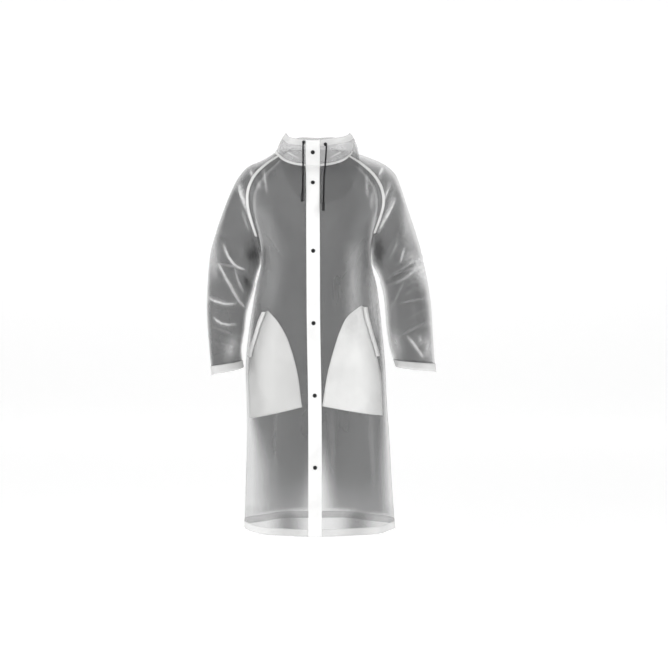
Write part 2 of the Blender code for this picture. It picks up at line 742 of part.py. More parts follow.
def make_bands(grids, doubled):
    """Welded bands along the hem, the cuffs and the hood's rim."""
    over = STRIP + SEAM
    left, back, right = grids["front", 1], grids["back"], grids["front", -1]
    hem = np.concatenate([left[:2, 1:-1], back[:2], right[:2, -2:0:-1]], axis=1)
    hem[:, 0] = toward(hem[:, 0], hem[:, 1], SEAM)
    hem[:, -1] = toward(hem[:, -1], hem[:, -2], SEAM)
    film_sheet("hem_band", hem, doubled, STRIP, over)
    for name, side in (("left", 1), ("right", -1)):
        cuff = grids["sleeve", side][:2]
        film_sheet(f"cuff_band_{name}", cuff, doubled, STRIP, over, flip=side < 0)
    rim = grids["hood"][-2:].copy()
    clear = PLACKET_EDGE - PANEL_EDGE + 2 * SEAM
    rim[:, 0] = toward(rim[:, 0], rim[:, 1], clear)
    rim[:, -1] = toward(rim[:, -1], rim[:, -2], clear)
    film_sheet("hood_channel", rim, doubled, STRIP, over)


def tape(name, one, middle, other, finish, flip=False):
    """A narrow tape along a seam. Where the seam lies in a fold, the tape bridges the fold."""
    upward = np.gradient(middle, axis=0)
    outward = np.cross(other - one, upward) * (-1 if flip else 1)
    outward /= np.linalg.norm(outward, axis=1, keepdims=True)
    depth = np.sum(((one + other) / 2 - middle) * outward, axis=1, keepdims=True)
    middle = middle + outward * np.maximum(depth, 0.0) * 0.75
    grid = np.stack([one, middle, other], axis=1)
    film_sheet(name, grid, finish, TAPE, TAPE + 2 * SEAM, flip)


def make_tapes(grids, doubled):
    """Welded tapes over the raglan seams, the side seams, the sleeve seams and the neck seam."""
    reach = TAPE_HALF_WIDTH
    first_yoke = len(lower_heights()) - 1
    back = grids["back"]
    for name, side in (("left", 1), ("right", -1)):
        front, sleeve = grids["front", side], grids["sleeve", side]
        behind = back if side > 0 else back[:, ::-1]
        yoke = slice(first_yoke + 2, None)
        arm = slice(len(sleeve) - UPPER_STEPS + 1, None)
        seams = (
            ("front", front[yoke, -1], front[yoke, -2], sleeve[arm, 0], sleeve[arm, 1], False),
            ("back", sleeve[arm, -1], sleeve[arm, -2], behind[yoke, 0], behind[yoke, 1], False),
        )
        for place, a, a_next, b, b_next, turned in seams:
            a, b, a_next, b_next = (np.array(p) for p in (a, b, a_next, b_next))
            lines = [toward(a, a_next, reach), (a + b) / 2, toward(b, b_next, reach)]
            for line in lines:
                line[-1] = toward(line[-1], line[-2], reach + 4 * SEAM)
            tape(f"raglan_tape_{place}_{name}", *lines, doubled, flip=(side < 0) != turned)
        rows = slice(1, first_yoke)
        a, a_next = front[rows, -1], front[rows, -2]
        b, b_next = behind[rows, 0], behind[rows, 1]
        lines = [toward(a, a_next, reach), (a + b) / 2, toward(b, b_next, reach)]
        for line in lines:
            line[0] = toward(line[0], line[1], 4 * SEAM)
        tape(f"side_tape_{name}", *lines, doubled, flip=side < 0)
        rows = slice(1, len(sleeve) - UPPER_STEPS - 2)
        seam = sleeve[rows, 0]
        lines = [toward(seam, sleeve[rows, -2], reach), seam.copy(), toward(seam, sleeve[rows, 1], reach)]
        for line in lines:
            line[0] = toward(line[0], line[1], 4 * SEAM)
        tape(f"sleeve_tape_{name}", *lines, doubled, flip=side < 0)
    make_neck_tape(grids, doubled)


def make_neck_tape(grids, doubled):
    """The neck tape lies half on the panels below the seam and half on the hood above it."""
    left, right, back = grids["front", 1], grids["front", -1], grids["back"]
    arm_left, arm_right = grids["sleeve", 1], grids["sleeve", -1]
    ring = [left[:, 1:-1], arm_left[:, :-1], back[:, :-1], arm_right[:, ::-1], right[:, -2:0:-1]]
    seam = np.concatenate([grid[-1] for grid in ring])
    below = np.concatenate([grid[-2] for grid in ring])
    hood = grids["hood"]
    start = np.linalg.norm(seam[0] - hood[0, 0])
    own = start + np.cumsum([0.0, *np.linalg.norm(np.diff(seam, axis=0), axis=1)])
    travel = np.cumsum([0.0, *np.linalg.norm(np.diff(hood[0], axis=0), axis=1)])
    foot, above = (
        np.stack([np.interp(own, travel, line[:, k]) for k in range(3)], axis=1) for line in hood[:2]
    )
    reach = TAPE_HALF_WIDTH - 0.001
    lines = [toward(seam, below, reach), (seam + foot) / 2, toward(foot, above, reach)]
    for line in lines:
        line[0] = toward(line[0], line[1], 2 * SEAM)
        line[-1] = toward(line[-1], line[-2], 2 * SEAM)
    film_sheet("neck_tape", np.stack(lines), doubled, TAPE, TAPE + 3 * SEAM)


def front_surface(side, x, height):
    """The point of a front panel below the underarm at a distance across and a height."""
    width = along(BODY_RINGS, height)[0 if side > 0 else 1]
    middle_x = along(OPENING_MIDDLE, height)[0]
    share = math.asin(min((side * x - middle_x * side) / (width - middle_x * side), 1.0))
    return ring_point(side, height, share / (math.pi / 2))


def make_pockets(doubled):
    """Each pocket bag hangs behind its front panel, and a welt marks its slanting mouth."""
    for name, side in (("left", 1), ("right", -1)):
        rows, mouth = [], []
        for i in range(POCKET_ROWS + 1):
            in_x, in_z, out_x, out_z = along(POCKET_BAGS[side], i / POCKET_ROWS)
            shares = [j / POCKET_STEPS for j in range(POCKET_STEPS + 1)]
            places = [(in_x + (out_x - in_x) * s, in_z + (out_z - in_z) * s) for s in shares]
            rows.append([front_surface(side, side * x, z) for x, z in places])
            in_x, in_z, out_x, out_z = along(POCKET_BAGS[side], WELT_END * i / POCKET_ROWS)
            places = [(out_x - WELT_HALF_WIDTH + WELT_HALF_WIDTH * j, out_z) for j in range(3)]
            mouth.append([front_surface(side, side * x, z) for x, z in places])
        bag, welt = np.array(rows)[::-1], np.array(mouth)[::-1]
        film_sheet(f"pocket_bag_{name}", bag, doubled, STRIP, -(WALL + 5 * SEAM), flip=side < 0)
        film_sheet(f"pocket_welt_{name}", welt, doubled, STRIP, STRIP + 2 * SEAM, flip=side < 0)


def turned(name, profile, steps, finish):
    """A turned piece round its own Z axis, from a profile of (radius, height) run top to bottom."""
    mesh = bpy.data.meshes.new(name)
    edges = [(i, i + 1) for i in range(len(profile) - 1)]
    mesh.from_pydata([(radius, 0.0, height) for radius, height in profile], edges, [])
    mesh.materials.append(finish)
    obj = bpy.data.objects.new(name, mesh)
    coat.objects.link(obj)
    screw = obj.modifiers.new("Turn", "SCREW")
    screw.steps = steps
    screw.render_steps = steps
    screw.use_merge_vertices = True
    screw.merge_threshold = 0.00002
    screw.use_smooth_shade = True
    return obj


def placket_frame(grid, height):
    """A point on the middle of the placket at a height, and the direction straight out of it there."""
    middle = grid[:, 2]
    i = int(np.searchsorted(middle[:, 2], height)) - 1
    i = min(max(i, 0), len(middle) - 2)
    share = (height - middle[i, 2]) / (middle[i + 1, 2] - middle[i, 2])
    point = middle[i] + (middle[i + 1] - middle[i]) * share
    up = Vector(middle[i + 1] - middle[i]).normalized()
    out = Vector((1.0, 0.0, 0.0)).cross(up)
    return Vector(point), out.normalized()


def make_snaps(grid, metal):
    """Each snap has a cap outside the placket, a stud between its strips and a back inside."""
    cap = ((0.0, 0.0024), (0.45, 0.0022), (0.80, 0.0015), (1.0, 0.0006), (1.0, 0.0), (0.0, 0.0))
    stud = ((0.0, 0.0010), (0.80, 0.0010), (0.80, 0.0), (0.0, 0.0))
    rear = ((0.0, 0.0), (0.85, 0.0), (0.92, -0.0005), (0.92, -0.0012), (0.70, -0.0016), (0.0, -0.0016))
    seats = (
        ("cap", cap, STRIP + 3 * SEAM),
        ("stud", stud, STUD_SEAT),
        ("back", rear, -(WALL + STRIP + 3.5 * SEAM)),
    )
    for number, height in enumerate(SNAP_HEIGHTS, 1):
        point, out = placket_frame(grid, height)
        for kind, profile, seat in seats:
            sized = [(radius * SNAP_RADIUS, rise) for radius, rise in profile]
            piece = turned(f"snap_{kind}_{number}", sized, ROUND_STEPS, metal)
            piece.rotation_mode = "QUATERNION"
            piece.rotation_quaternion = out.to_track_quat("Z", "Y")
            piece.location = point + out * seat


def smooth_route(points, spacing):
    """Points at an even spacing on a smooth curve through a route."""
    route = np.array(points)
    keys = np.cumsum([0.0, *np.linalg.norm(np.diff(route, axis=0), axis=1)])
    table = [(key, *point) for key, point in zip(keys, route)]
    count = int(round(keys[-1] / spacing)) + 1
    return [Vector(along(table, key)) for key in np.linspace(0, keys[-1], count)]


def make_drawcords(cord_finish, metal):
    """Each cord leaves an eyelet in the hood's channel, hangs on the chest and ends in a tip."""
    for name, points in DRAWCORD_ROUTES.items():
        route = smooth_route(points, CORD_STEP)
        curve = bpy.data.curves.new(f"drawcord_{name}", "CURVE")
        curve.dimensions = "3D"
        curve.bevel_depth = CORD_DIAMETER / 2
        curve.bevel_resolution = 2
        curve.use_fill_caps = True
        spline = curve.splines.new("POLY")
        spline.points.add(len(route) - 1)
        for knot, point in zip(spline.points, route):
            knot.co = (*point, 1.0)
        curve.materials.append(cord_finish)
        coat.objects.link(bpy.data.objects.new(f"drawcord_{name}", curve))
        down = (route[-1] - route[-2]).normalized()
        profile = [(0.0, 0.0), (0.75, 0.0), (1.0, -0.001), (1.0, -TIP_LENGTH + 0.001)]
        profile += [(0.75, -TIP_LENGTH), (0.0, -TIP_LENGTH)]
        sized = [(radius * TIP_RADIUS, rise) for radius, rise in profile]
        tip = turned(f"cord_tip_{name}", sized, ROUND_STEPS, metal)
        tip.rotation_mode = "QUATERNION"
        tip.rotation_quaternion = (-down).to_track_quat("Z", "Y")
        tip.location = route[-1] + down * SEAM
        start = (Vector(points[1]) - Vector(points[0])).normalized()
        eyelet = turned(f"eyelet_{name}", EYELET_RING, EYELET_STEPS, metal)
        eyelet.rotation_mode = "QUATERNION"
        eyelet.rotation_quaternion = start.to_track_quat("Z", "Y")
        eyelet.location = route[0]


# ------------------------------------------------------------------ assembly
clear_scene()
coat = bpy.data.collections.new(COLLECTION)
bpy.context.scene.collection.children.link(coat)

film = material("Frosted film", (0.62, 0.63, 0.63), 0.35, alpha=0.6, transmission=0.3)
doubled = material("Doubled film", (0.90, 0.90, 0.89), 0.40)
black_metal = material("Black snap", (0.012, 0.012, 0.013), 0.35)
black_cord = material("Black cord", (0.015, 0.015, 0.016), 0.85)

panels = panel_grids()
clear_seams(panels)
make_panels(panels, film)
strip = make_placket(panels, doubled)
make_bands(panels, doubled)
make_tapes(panels, doubled)
make_pockets(doubled)
make_snaps(strip, black_metal)
make_drawcords(black_cord, black_metal)
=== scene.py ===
# %% [markdown]
# # A frosted, see-through hooded raincoat
# The real coat is cut from soft, milky film and welded together: fronts, back, raglan sleeves and
# a hood, with white strips wherever two or three layers lie on each other. This lesson dresses the
# rigid frame of that coat in Blender. Every panel is a smooth curved sheet that follows the frame,
# and the creases, the welded strips and the fittings are laid on top of it.

# %% Load the fixed frame
import math

import bmesh
import bpy
import numpy as np
from mathutils import Matrix, Vector, noise
from mathutils.bvhtree import BVHTree


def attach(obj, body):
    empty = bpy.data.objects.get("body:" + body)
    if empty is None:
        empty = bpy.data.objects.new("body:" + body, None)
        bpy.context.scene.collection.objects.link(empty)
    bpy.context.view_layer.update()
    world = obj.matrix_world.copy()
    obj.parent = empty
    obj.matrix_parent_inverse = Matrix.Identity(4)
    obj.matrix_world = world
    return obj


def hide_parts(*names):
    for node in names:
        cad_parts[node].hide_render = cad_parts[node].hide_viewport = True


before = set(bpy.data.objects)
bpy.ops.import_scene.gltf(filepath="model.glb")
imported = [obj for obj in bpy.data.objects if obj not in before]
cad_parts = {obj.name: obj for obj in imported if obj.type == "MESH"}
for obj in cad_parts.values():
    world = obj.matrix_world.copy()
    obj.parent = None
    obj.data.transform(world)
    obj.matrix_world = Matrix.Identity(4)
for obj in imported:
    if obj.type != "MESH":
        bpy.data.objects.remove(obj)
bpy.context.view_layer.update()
BODY = "root"

# %% [markdown]
# ## The camera
# The photograph was taken from the front, about six metres away and roughly at chest height, with
# a long lens. A long lens keeps the coat's proportions flat and calm, so the camera is placed that
# far away here too. It is aimed with a track quaternion, which turns the camera's own -Z axis to
# the target and keeps its Y axis upright.

# %% Camera
SENSOR_WIDTH = 0.036
CAMERA_PLACE = Vector((0.0, -6.0, -0.28))
CAMERA_TARGET = Vector((0.0558, 0.0, -0.5549))
FRAME_WIDTH = 2.0708  # what the photograph's frame spans at the coat

camera_data = bpy.data.cameras.new("Portrait camera")
camera_data.sensor_width = SENSOR_WIDTH * 1000
camera_data.lens = SENSOR_WIDTH * 1000 * abs(CAMERA_PLACE.y) / FRAME_WIDTH
camera = bpy.data.objects.new("Portrait camera", camera_data)
camera.location = CAMERA_PLACE
camera.rotation_mode = "QUATERNION"
camera.rotation_quaternion = (CAMERA_TARGET - CAMERA_PLACE).to_track_quat("-Z", "Y")
bpy.context.scene.collection.objects.link(camera)
bpy.context.scene.camera = camera
print("lens:", round(camera_data.lens, 1), "mm")

# %% [markdown]
# ## The film and the grid
# A pattern cutter works from a sheet of measurements. It starts with what all the panels share:
# how thick the film is, how wide the strips are, and how many rows and columns a panel is drawn
# with. All sizes are in metres, the front faces -Y and +Z is up.

# %% Sizes that all panels share
WALL = 0.0012  # film of the panels
STRIP = 0.0010  # film of bands, strips and pocket bags
TAPE = 0.0008  # welded tape
SEAM = 0.0003  # clear distance between two pieces that meet
HEM_HEIGHT = -1.158
UNDERARM_HEIGHT = -0.335
HEM_BAND = 0.022
CUFF_BAND = 0.022
CHANNEL_BAND = 0.020
TAPE_HALF_WIDTH = 0.0055
PANEL_EDGE = 0.012  # from the middle of the front opening to the edge of a front panel
PLACKET_EDGE = 0.020  # from the middle of the front opening to the edge of the placket

LOWER_STEPS = 12  # rows between the hem band and the underarm
UPPER_STEPS = 8  # rows between the underarm and the neckline
FRONT_STEPS = 10  # columns from the placket to the side
BACK_STEPS = 20
SLEEVE_STEPS = 20
SLEEVE_ROWS = 10
HOOD_ROWS = 11
print("rows of a front:", 1 + LOWER_STEPS + 1 + UPPER_STEPS, "columns of the back:", BACK_STEPS + 1)

# %% [markdown]
# ## Smooth curves through a few measurements
# A table has only a handful of rows, but a coat is smooth. `along` reads a table at any key on a
# smooth curve through its rows. The small helpers below it keep smooth changes, distances and
# surface directions in one place.

# %% Helpers for smooth shapes
HALVES = (("left", 1), ("right", -1))  # the coat's own sides, and their direction along X


def hermite(t, gap, start, end, start_slope, end_slope):
    """A smooth curve from start (t = 0) to end (t = 1), which lies a gap further on."""
    return (
        (2 * t**3 - 3 * t**2 + 1) * start
        + (t**3 - 2 * t**2 + t) * gap * start_slope
        + (3 * t**2 - 2 * t**3) * end
        + (t**3 - t**2) * gap * end_slope
    )


def along(table, key):
    """The values of a table at a key between its rows, on a smooth curve through them."""
    rows = np.array(table, float)
    keys, values = rows[:, 0], rows[:, 1:]
    key = min(max(key, keys[0]), keys[-1])
    slopes = np.gradient(values, keys, axis=0)
    i = min(max(int(np.searchsorted(keys, key)) - 1, 0), len(keys) - 2)
    gap = keys[i + 1] - keys[i]
    return hermite((key - keys[i]) / gap, gap, values[i], values[i + 1], slopes[i], slopes[i + 1])


def smoothstep(low, high, values):
    """Goes smoothly from 0 at low to 1 at high, for a value or an array of them."""
    t = np.clip((values - low) / (high - low), 0.0, 1.0)
    return t * t * (3 - 2 * t)


def toward(start, end, distance):
    """The point that lies `distance` from start on the way to end, for single points or rows of them."""
    step = end - start
    return start + step * (distance / np.linalg.norm(step, axis=-1, keepdims=True))


def grid_normals(points):
    """Unit normals of a grid of points, rows upward and columns from the front round to +X."""
    normals = np.cross(np.gradient(points, axis=1), np.gradient(points, axis=0))
    return normals / np.maximum(np.linalg.norm(normals, axis=2, keepdims=True), 1e-12)


def near_line(flat, points):
    """How far each point lies from a line through some points, and how far along it that is."""
    points = np.array(points)
    lengths = np.linalg.norm(np.diff(points, axis=0), axis=1)
    shares = np.cumsum([0.0, *lengths]) / lengths.sum()
    nearest, travel = np.full(flat.shape[:2], np.inf), np.zeros(flat.shape[:2])
    for start, line, first, last in zip(points, np.diff(points, axis=0), shares, shares[1:]):
        share = np.clip(((flat - start) @ line) / (line @ line), 0.0, 1.0)
        distance = np.linalg.norm(flat - start - share[:, :, None] * line, axis=2)
        travel = np.where(distance < nearest, first + share * (last - first), travel)
        nearest = np.minimum(nearest, distance)
    return nearest, travel


def tapered(share, inset, power=1.0):
    """Along a line that share counts from 0 to 1: low at its ends and 1 in its middle."""
    return np.sin(np.pi * (share * (1 - 2 * inset) + inset)) ** power


print("halfway up a smooth step:", smoothstep(0.0, 1.0, 0.5))

# %% [markdown]
# ## The body
# Each panel starts as a coarse grid: rows go up the coat and columns go round it. The skirt hangs
# in rows that are ellipses with flutes, and above the underarms the rows narrow to the neckline.
# They could be sculpted by hand, but a few measured widths and depths keep both fronts and the
# back true to each other, so the tables come first and the points are worked out from them.

# %% Measurements of the body
# Where the middle of the front opening lies, from hem to neck.
OPENING_MIDDLE = (
    # height, across
    (-1.158, -0.0030),
    (-0.740, -0.0039),
    (-0.510, -0.0076),
    (-0.300, -0.0085),
    (0.040, -0.0100),
)

# How far the body reaches from the middle at each height below the underarm.
BODY_RINGS = (
    # height, to +X, to -X, to the front, to the back
    (-1.158, 0.2460, 0.2230, 0.198, 0.216),
    (-1.040, 0.2370, 0.2185, 0.191, 0.209),
    (-0.884, 0.2280, 0.2140, 0.185, 0.201),
    (-0.760, 0.2190, 0.2145, 0.180, 0.193),
    (-0.654, 0.2140, 0.2170, 0.177, 0.186),
    (-0.574, 0.2070, 0.2105, 0.174, 0.180),
    (-0.480, 0.1970, 0.1970, 0.171, 0.173),
    (-0.388, 0.1840, 0.1810, 0.170, 0.168),
    (-0.335, 0.1720, 0.1705, 0.170, 0.166),
)

# Ridges and hollows that run up the skirt from the hem and fade out.
FLUTES = (
    # angle from the front middle, half width of the fold (degrees), depth at the hem, where it ends
    (-72.0, 13.0, -0.006, -0.62),
    (-41.0, 10.0, 0.007, -0.80),
    (-24.0, 8.0, -0.006, -0.86),
    (26.0, 10.0, -0.005, -0.88),
    (48.0, 11.0, 0.009, -0.76),
    (70.0, 12.0, -0.007, -0.70),
    (112.0, 12.0, 0.008, -0.70),
    (134.0, 11.0, -0.009, -0.62),
    (158.0, 12.0, 0.010, -0.66),
    (-178.0, 12.0, -0.009, -0.58),
    (-155.0, 12.0, 0.011, -0.68),
    (-131.0, 11.0, -0.008, -0.72),
    (-108.0, 12.0, 0.008, -0.66),
)

# Middle lines of the chest and of the back, from the underarm (0) to the neckline (1).
CHEST_MIDDLE = (
    # share, depth, height
    (0.00, -0.170, -0.335),
    (0.25, -0.168, -0.262),
    (0.40, -0.163, -0.213),
    (0.55, -0.155, -0.165),
    (0.70, -0.143, -0.116),
    (0.85, -0.122, -0.072),
    (1.00, -0.095, -0.037),
)
BACK_MIDDLE = (
    (0.00, 0.166, -0.335),
    (0.25, 0.165, -0.255),
    (0.40, 0.162, -0.200),
    (0.55, 0.156, -0.148),
    (0.70, 0.144, -0.092),
    (0.85, 0.119, -0.034),
    (1.00, 0.080, 0.020),
)

# The raglan seams, from the underarm (0) to the neckline (1).
FRONT_RAGLAN = (
    # share, across at +X, height at +X, across at -X, height at -X, depth
    (0.00, 0.1720, -0.335, 0.1705, -0.335, 0.000),
    (0.10, 0.1690, -0.300, 0.1705, -0.303, -0.026),
    (0.25, 0.1780, -0.242, 0.1820, -0.252, -0.056),
    (0.40, 0.1970, -0.187, 0.1990, -0.195, -0.074),
    (0.55, 0.2055, -0.136, 0.2090, -0.138, -0.080),
    (0.70, 0.1900, -0.084, 0.1975, -0.084, -0.076),
    (0.85, 0.1500, -0.040, 0.1600, -0.038, -0.062),
    (1.00, 0.1010, -0.004, 0.1130, -0.005, -0.0356),
)
BACK_RAGLAN = (
    # share, across at +X, across at -X, depth, height
    (0.00, 0.1720, 0.1705, 0.000, -0.335),
    (0.10, 0.1690, 0.1700, 0.028, -0.300),
    (0.25, 0.1770, 0.1800, 0.060, -0.242),
    (0.40, 0.1910, 0.1940, 0.082, -0.186),
    (0.55, 0.1950, 0.1980, 0.094, -0.132),
    (0.70, 0.1760, 0.1800, 0.098, -0.078),
    (0.85, 0.1280, 0.1320, 0.090, -0.030),
    (1.00, 0.0764, 0.0863, 0.0566, 0.017),
)

# The neckline: its height from the front seam of a sleeve round to the back middle.
NECK_WIDTHS = {1: 0.108, -1: 0.122}
NECK_FRONT_DEPTH = 0.095
NECK_BACK_DEPTH = 0.080
NECK_SEAM_ANGLES = (68.0, 135.0)  # where the front and back raglan seams meet the neckline
NECK_HEIGHTS = (
    # angle from the front middle, height
    (68.0, -0.004),
    (95.0, 0.010),
    (115.0, 0.015),
    (135.0, 0.017),
    (180.0, 0.020),
)
NECK_RISE = 2.2  # how late the front of the neckline climbs towards the shoulder
YOKE_TURNS = (55.0, 90.0)  # degrees that a row turns through, at the neckline and at the underarm
print("the neckline's back middle:", NECK_BACK_DEPTH, NECK_HEIGHTS[-1][1])

# %% Points of the skirt
def fold_depth(angle, height):
    """How far the skirt stands out of its plain ring, from the table of flutes."""
    depth = 0.0
    for middle, half_width, most, end in FLUTES:
        turn = (angle - middle + 180.0) % 360.0 - 180.0
        depth += most * math.exp(-((turn / half_width) ** 2)) * smoothstep(end, HEM_HEIGHT, height)
    return depth


def row_point(middle, edge, turn, rise, share):
    """A point on an elliptic row from the middle of a panel (share 0) to its edge (share 1)."""
    end = math.radians(turn)
    angle = end * share
    return np.array(
        (
            middle[0] + (edge[0] - middle[0]) * math.sin(angle) / math.sin(end),
            middle[1] + (edge[1] - middle[1]) * (1 - math.cos(angle)) / (1 - math.cos(end)),
            middle[2] + (edge[2] - middle[2]) * share**rise,
        )
    )


def ring_point(side, height, share, behind=False):
    """A point of the body below the underarm: share 0 is the middle, 1 is the side seam."""
    left, right, front, back = along(BODY_RINGS, height)
    width = left if side > 0 else right
    middle_x = 0.0 if behind else along(OPENING_MIDDLE, height)[0]
    depth = back if behind else -front
    point = row_point((middle_x, depth, height), (side * width, 0.0, height), 90.0, 1.0, share)
    turn = 90.0 * share
    angle = side * (180.0 - turn if behind else turn)
    outward = Vector((side * math.sin(math.radians(turn)) * abs(depth), 0.0, 0.0))
    outward.y = math.copysign(math.cos(math.radians(turn)) * width, depth)
    return point + np.array(outward.normalized()) * fold_depth(angle, height)


print("a point of the waist:", [round(float(x), 3) for x in ring_point(1, -0.5, 0.5)])

# %% Points of the neckline and of the yoke
def neck_edge(side, behind=False):
    """Where a raglan seam meets the neckline."""
    angle = math.radians(NECK_SEAM_ANGLES[1 if behind else 0])
    height = along(NECK_HEIGHTS, math.degrees(angle))[0]
    depth = NECK_BACK_DEPTH if behind else NECK_FRONT_DEPTH
    return np.array((side * NECK_WIDTHS[side] * math.sin(angle), -depth * math.cos(angle), height))


def neck_point(side, angle):
    """A point of the neckline, at an angle from the front middle."""
    if angle <= NECK_SEAM_ANGLES[0]:
        depth, height = along(CHEST_MIDDLE, 1.0)
        middle = (along(OPENING_MIDDLE, height)[0], depth, height)
        turn = NECK_SEAM_ANGLES[0]
        return row_point(middle, neck_edge(side), turn, NECK_RISE, angle / turn)
    turn = math.radians(angle)
    depth = NECK_FRONT_DEPTH if angle < 90 else NECK_BACK_DEPTH
    height = along(NECK_HEIGHTS, angle)[0]
    return np.array((side * NECK_WIDTHS[side] * math.sin(turn), -depth * math.cos(turn), height))


def raglan_point(side, share, behind=False):
    """A point of a raglan seam, from the underarm (0) to the neckline (1)."""
    if share >= 1.0:
        return neck_edge(side, behind)
    if behind:
        left, right, depth, height = along(BACK_RAGLAN, share)
        return np.array((side * (left if side > 0 else right), depth, height))
    left, left_height, right, right_height, depth = along(FRONT_RAGLAN, share)
    if side > 0:
        return np.array((left, depth, left_height))
    return np.array((-right, depth, right_height))


def yoke_turn(share):
    top, bottom = YOKE_TURNS
    return top + (bottom - top) * (1.0 - share) ** 3


def yoke_row(side, share, behind=False):
    """The middle, edge, turn and rise of a row between the underarm and the neckline."""
    depth, height = along(BACK_MIDDLE if behind else CHEST_MIDDLE, share)
    middle_x = 0.0 if behind else along(OPENING_MIDDLE, height)[0]
    return (middle_x, depth, height), raglan_point(side, share, behind), yoke_turn(share), NECK_RISE


def yoke_point(side, share, across, behind=False):
    point = row_point(*yoke_row(side, share, behind), across)
    top = row_point(*yoke_row(side, 1.0, behind), across)
    first, last = NECK_SEAM_ANGLES
    wanted = neck_point(side, 180.0 - (180.0 - last) * across if behind else first * across)
    return point + (wanted - top) * share**4


print("a point of the chest:", [round(float(x), 3) for x in yoke_point(1, 0.5, 0.5)])

# %% Grids of the fronts and of the back
def lower_heights():
    return [HEM_HEIGHT, *np.linspace(HEM_HEIGHT + HEM_BAND, UNDERARM_HEIGHT, LOWER_STEPS + 1)]


def upper_shares():
    return [(i + 1) / UPPER_STEPS for i in range(UPPER_STEPS)]


def opening_shares(turn, middle_x, edge_x):
    """Column shares of a front panel: its edge, the placket's edge, then even steps to the side."""
    reach = abs(edge_x - middle_x)
    end = math.radians(turn)
    first = [math.asin(d * math.sin(end) / reach) / end for d in (PANEL_EDGE, PLACKET_EDGE)]
    return first + [first[1] + (1 - first[1]) * (i + 1) / FRONT_STEPS for i in range(FRONT_STEPS)]


def front_grid(side):
    """A front, from its edge behind the placket to the side seam."""
    rows = []
    for height in lower_heights():
        width = along(BODY_RINGS, height)[0 if side > 0 else 1]
        shares = opening_shares(90.0, along(OPENING_MIDDLE, height)[0], side * width)
        rows.append([ring_point(side, height, share) for share in shares])
    for level in upper_shares():
        middle, edge, turn, _ = yoke_row(side, level)
        shares = opening_shares(turn, middle[0], edge[0])
        rows.append([yoke_point(side, level, share) for share in shares])
    return np.array(rows)


def back_grid():
    """The back, from the side at +X over the middle to the side at -X."""
    half = BACK_STEPS // 2
    columns = [(1, 1 - i / half) for i in range(half)] + [(-1, i / half) for i in range(half + 1)]
    rows = [[ring_point(s, h, share, True) for s, share in columns] for h in lower_heights()]
    rows += [[yoke_point(s, up, share, True) for s, share in columns] for up in upper_shares()]
    return np.array(rows)


print("rows and columns of a front and of the back:", front_grid(1).shape[:2], back_grid().shape[:2])

# %% [markdown]
# ## The sleeves
# A raglan sleeve runs up to the neckline, and its arm hangs a little bent. Each of its rows is a
# loop of Bezier curves from the front seam round the outermost line to the back seam, because a
# plain circle can't open towards two seams. Its biggest creases are part of its form already.

# %% Measurements of the sleeves
# The outermost line of a sleeve's upper part, from the underarm (0) to the neckline (1).
SHOULDER_LINE = {
    # share, across, height
    1: (
        (0.00, 0.3270, -0.300),
        (0.15, 0.3080, -0.234),
        (0.30, 0.2880, -0.175),
        (0.45, 0.2690, -0.117),
        (0.60, 0.2510, -0.067),
        (0.72, 0.2270, -0.039),
        (0.85, 0.1780, -0.013),
        (1.00, 0.1080, 0.012),
    ),
    -1: (
        (0.00, 0.3270, -0.305),
        (0.15, 0.3090, -0.236),
        (0.30, 0.2890, -0.175),
        (0.45, 0.2660, -0.119),
        (0.60, 0.2450, -0.077),
        (0.72, 0.2230, -0.046),
        (0.85, 0.1780, -0.023),
        (1.00, 0.1220, 0.010),
    ),
}
SHOULDER_DEPTH = 0.006
SHOULDER_EASE = 0.4  # share over which the outermost line moves back to that depth
SEAM_TURN = 132.0  # heading of a sleeve's rows at the raglan seams, in degrees from straight forward
SEAM_EASE = (-0.02, 0.5)  # shares between which the rows take up that heading
FULLNESS, UNDERARM_FULLNESS = 0.37, 0.28  # length of the rows' handles, and what the underarm adds

# The sleeves below the underarm, from the cuff (0) up to the underarm (1).
SLEEVE_RINGS = {
    # share, inner across, inner height, outer across, outer height, middle depth, half depth
    1: (
        (0.00, 0.2450, -0.651, 0.3690, -0.669, -0.055, 0.060),
        (0.15, 0.2310, -0.604, 0.3655, -0.616, -0.042, 0.063),
        (0.35, 0.2200, -0.540, 0.3620, -0.548, -0.024, 0.067),
        (0.55, 0.2155, -0.480, 0.3590, -0.486, -0.009, 0.071),
        (0.72, 0.2090, -0.425, 0.3520, -0.424, 0.002, 0.073),
        (0.87, 0.1930, -0.376, 0.3405, -0.360, 0.004, 0.075),
        (1.00, 0.1720, -0.335, 0.3270, -0.300, 0.000, 0.0756),
    ),
    -1: (
        (0.00, 0.2230, -0.653, 0.3210, -0.679, -0.058, 0.050),
        (0.15, 0.2300, -0.606, 0.3280, -0.622, -0.044, 0.053),
        (0.35, 0.2210, -0.542, 0.3350, -0.550, -0.025, 0.060),
        (0.55, 0.2130, -0.480, 0.3385, -0.484, -0.009, 0.067),
        (0.72, 0.1960, -0.425, 0.3375, -0.424, 0.002, 0.071),
        (0.87, 0.1840, -0.378, 0.3340, -0.362, 0.004, 0.074),
        (1.00, 0.1705, -0.335, 0.3270, -0.305, 0.000, 0.0756),
    ),
}

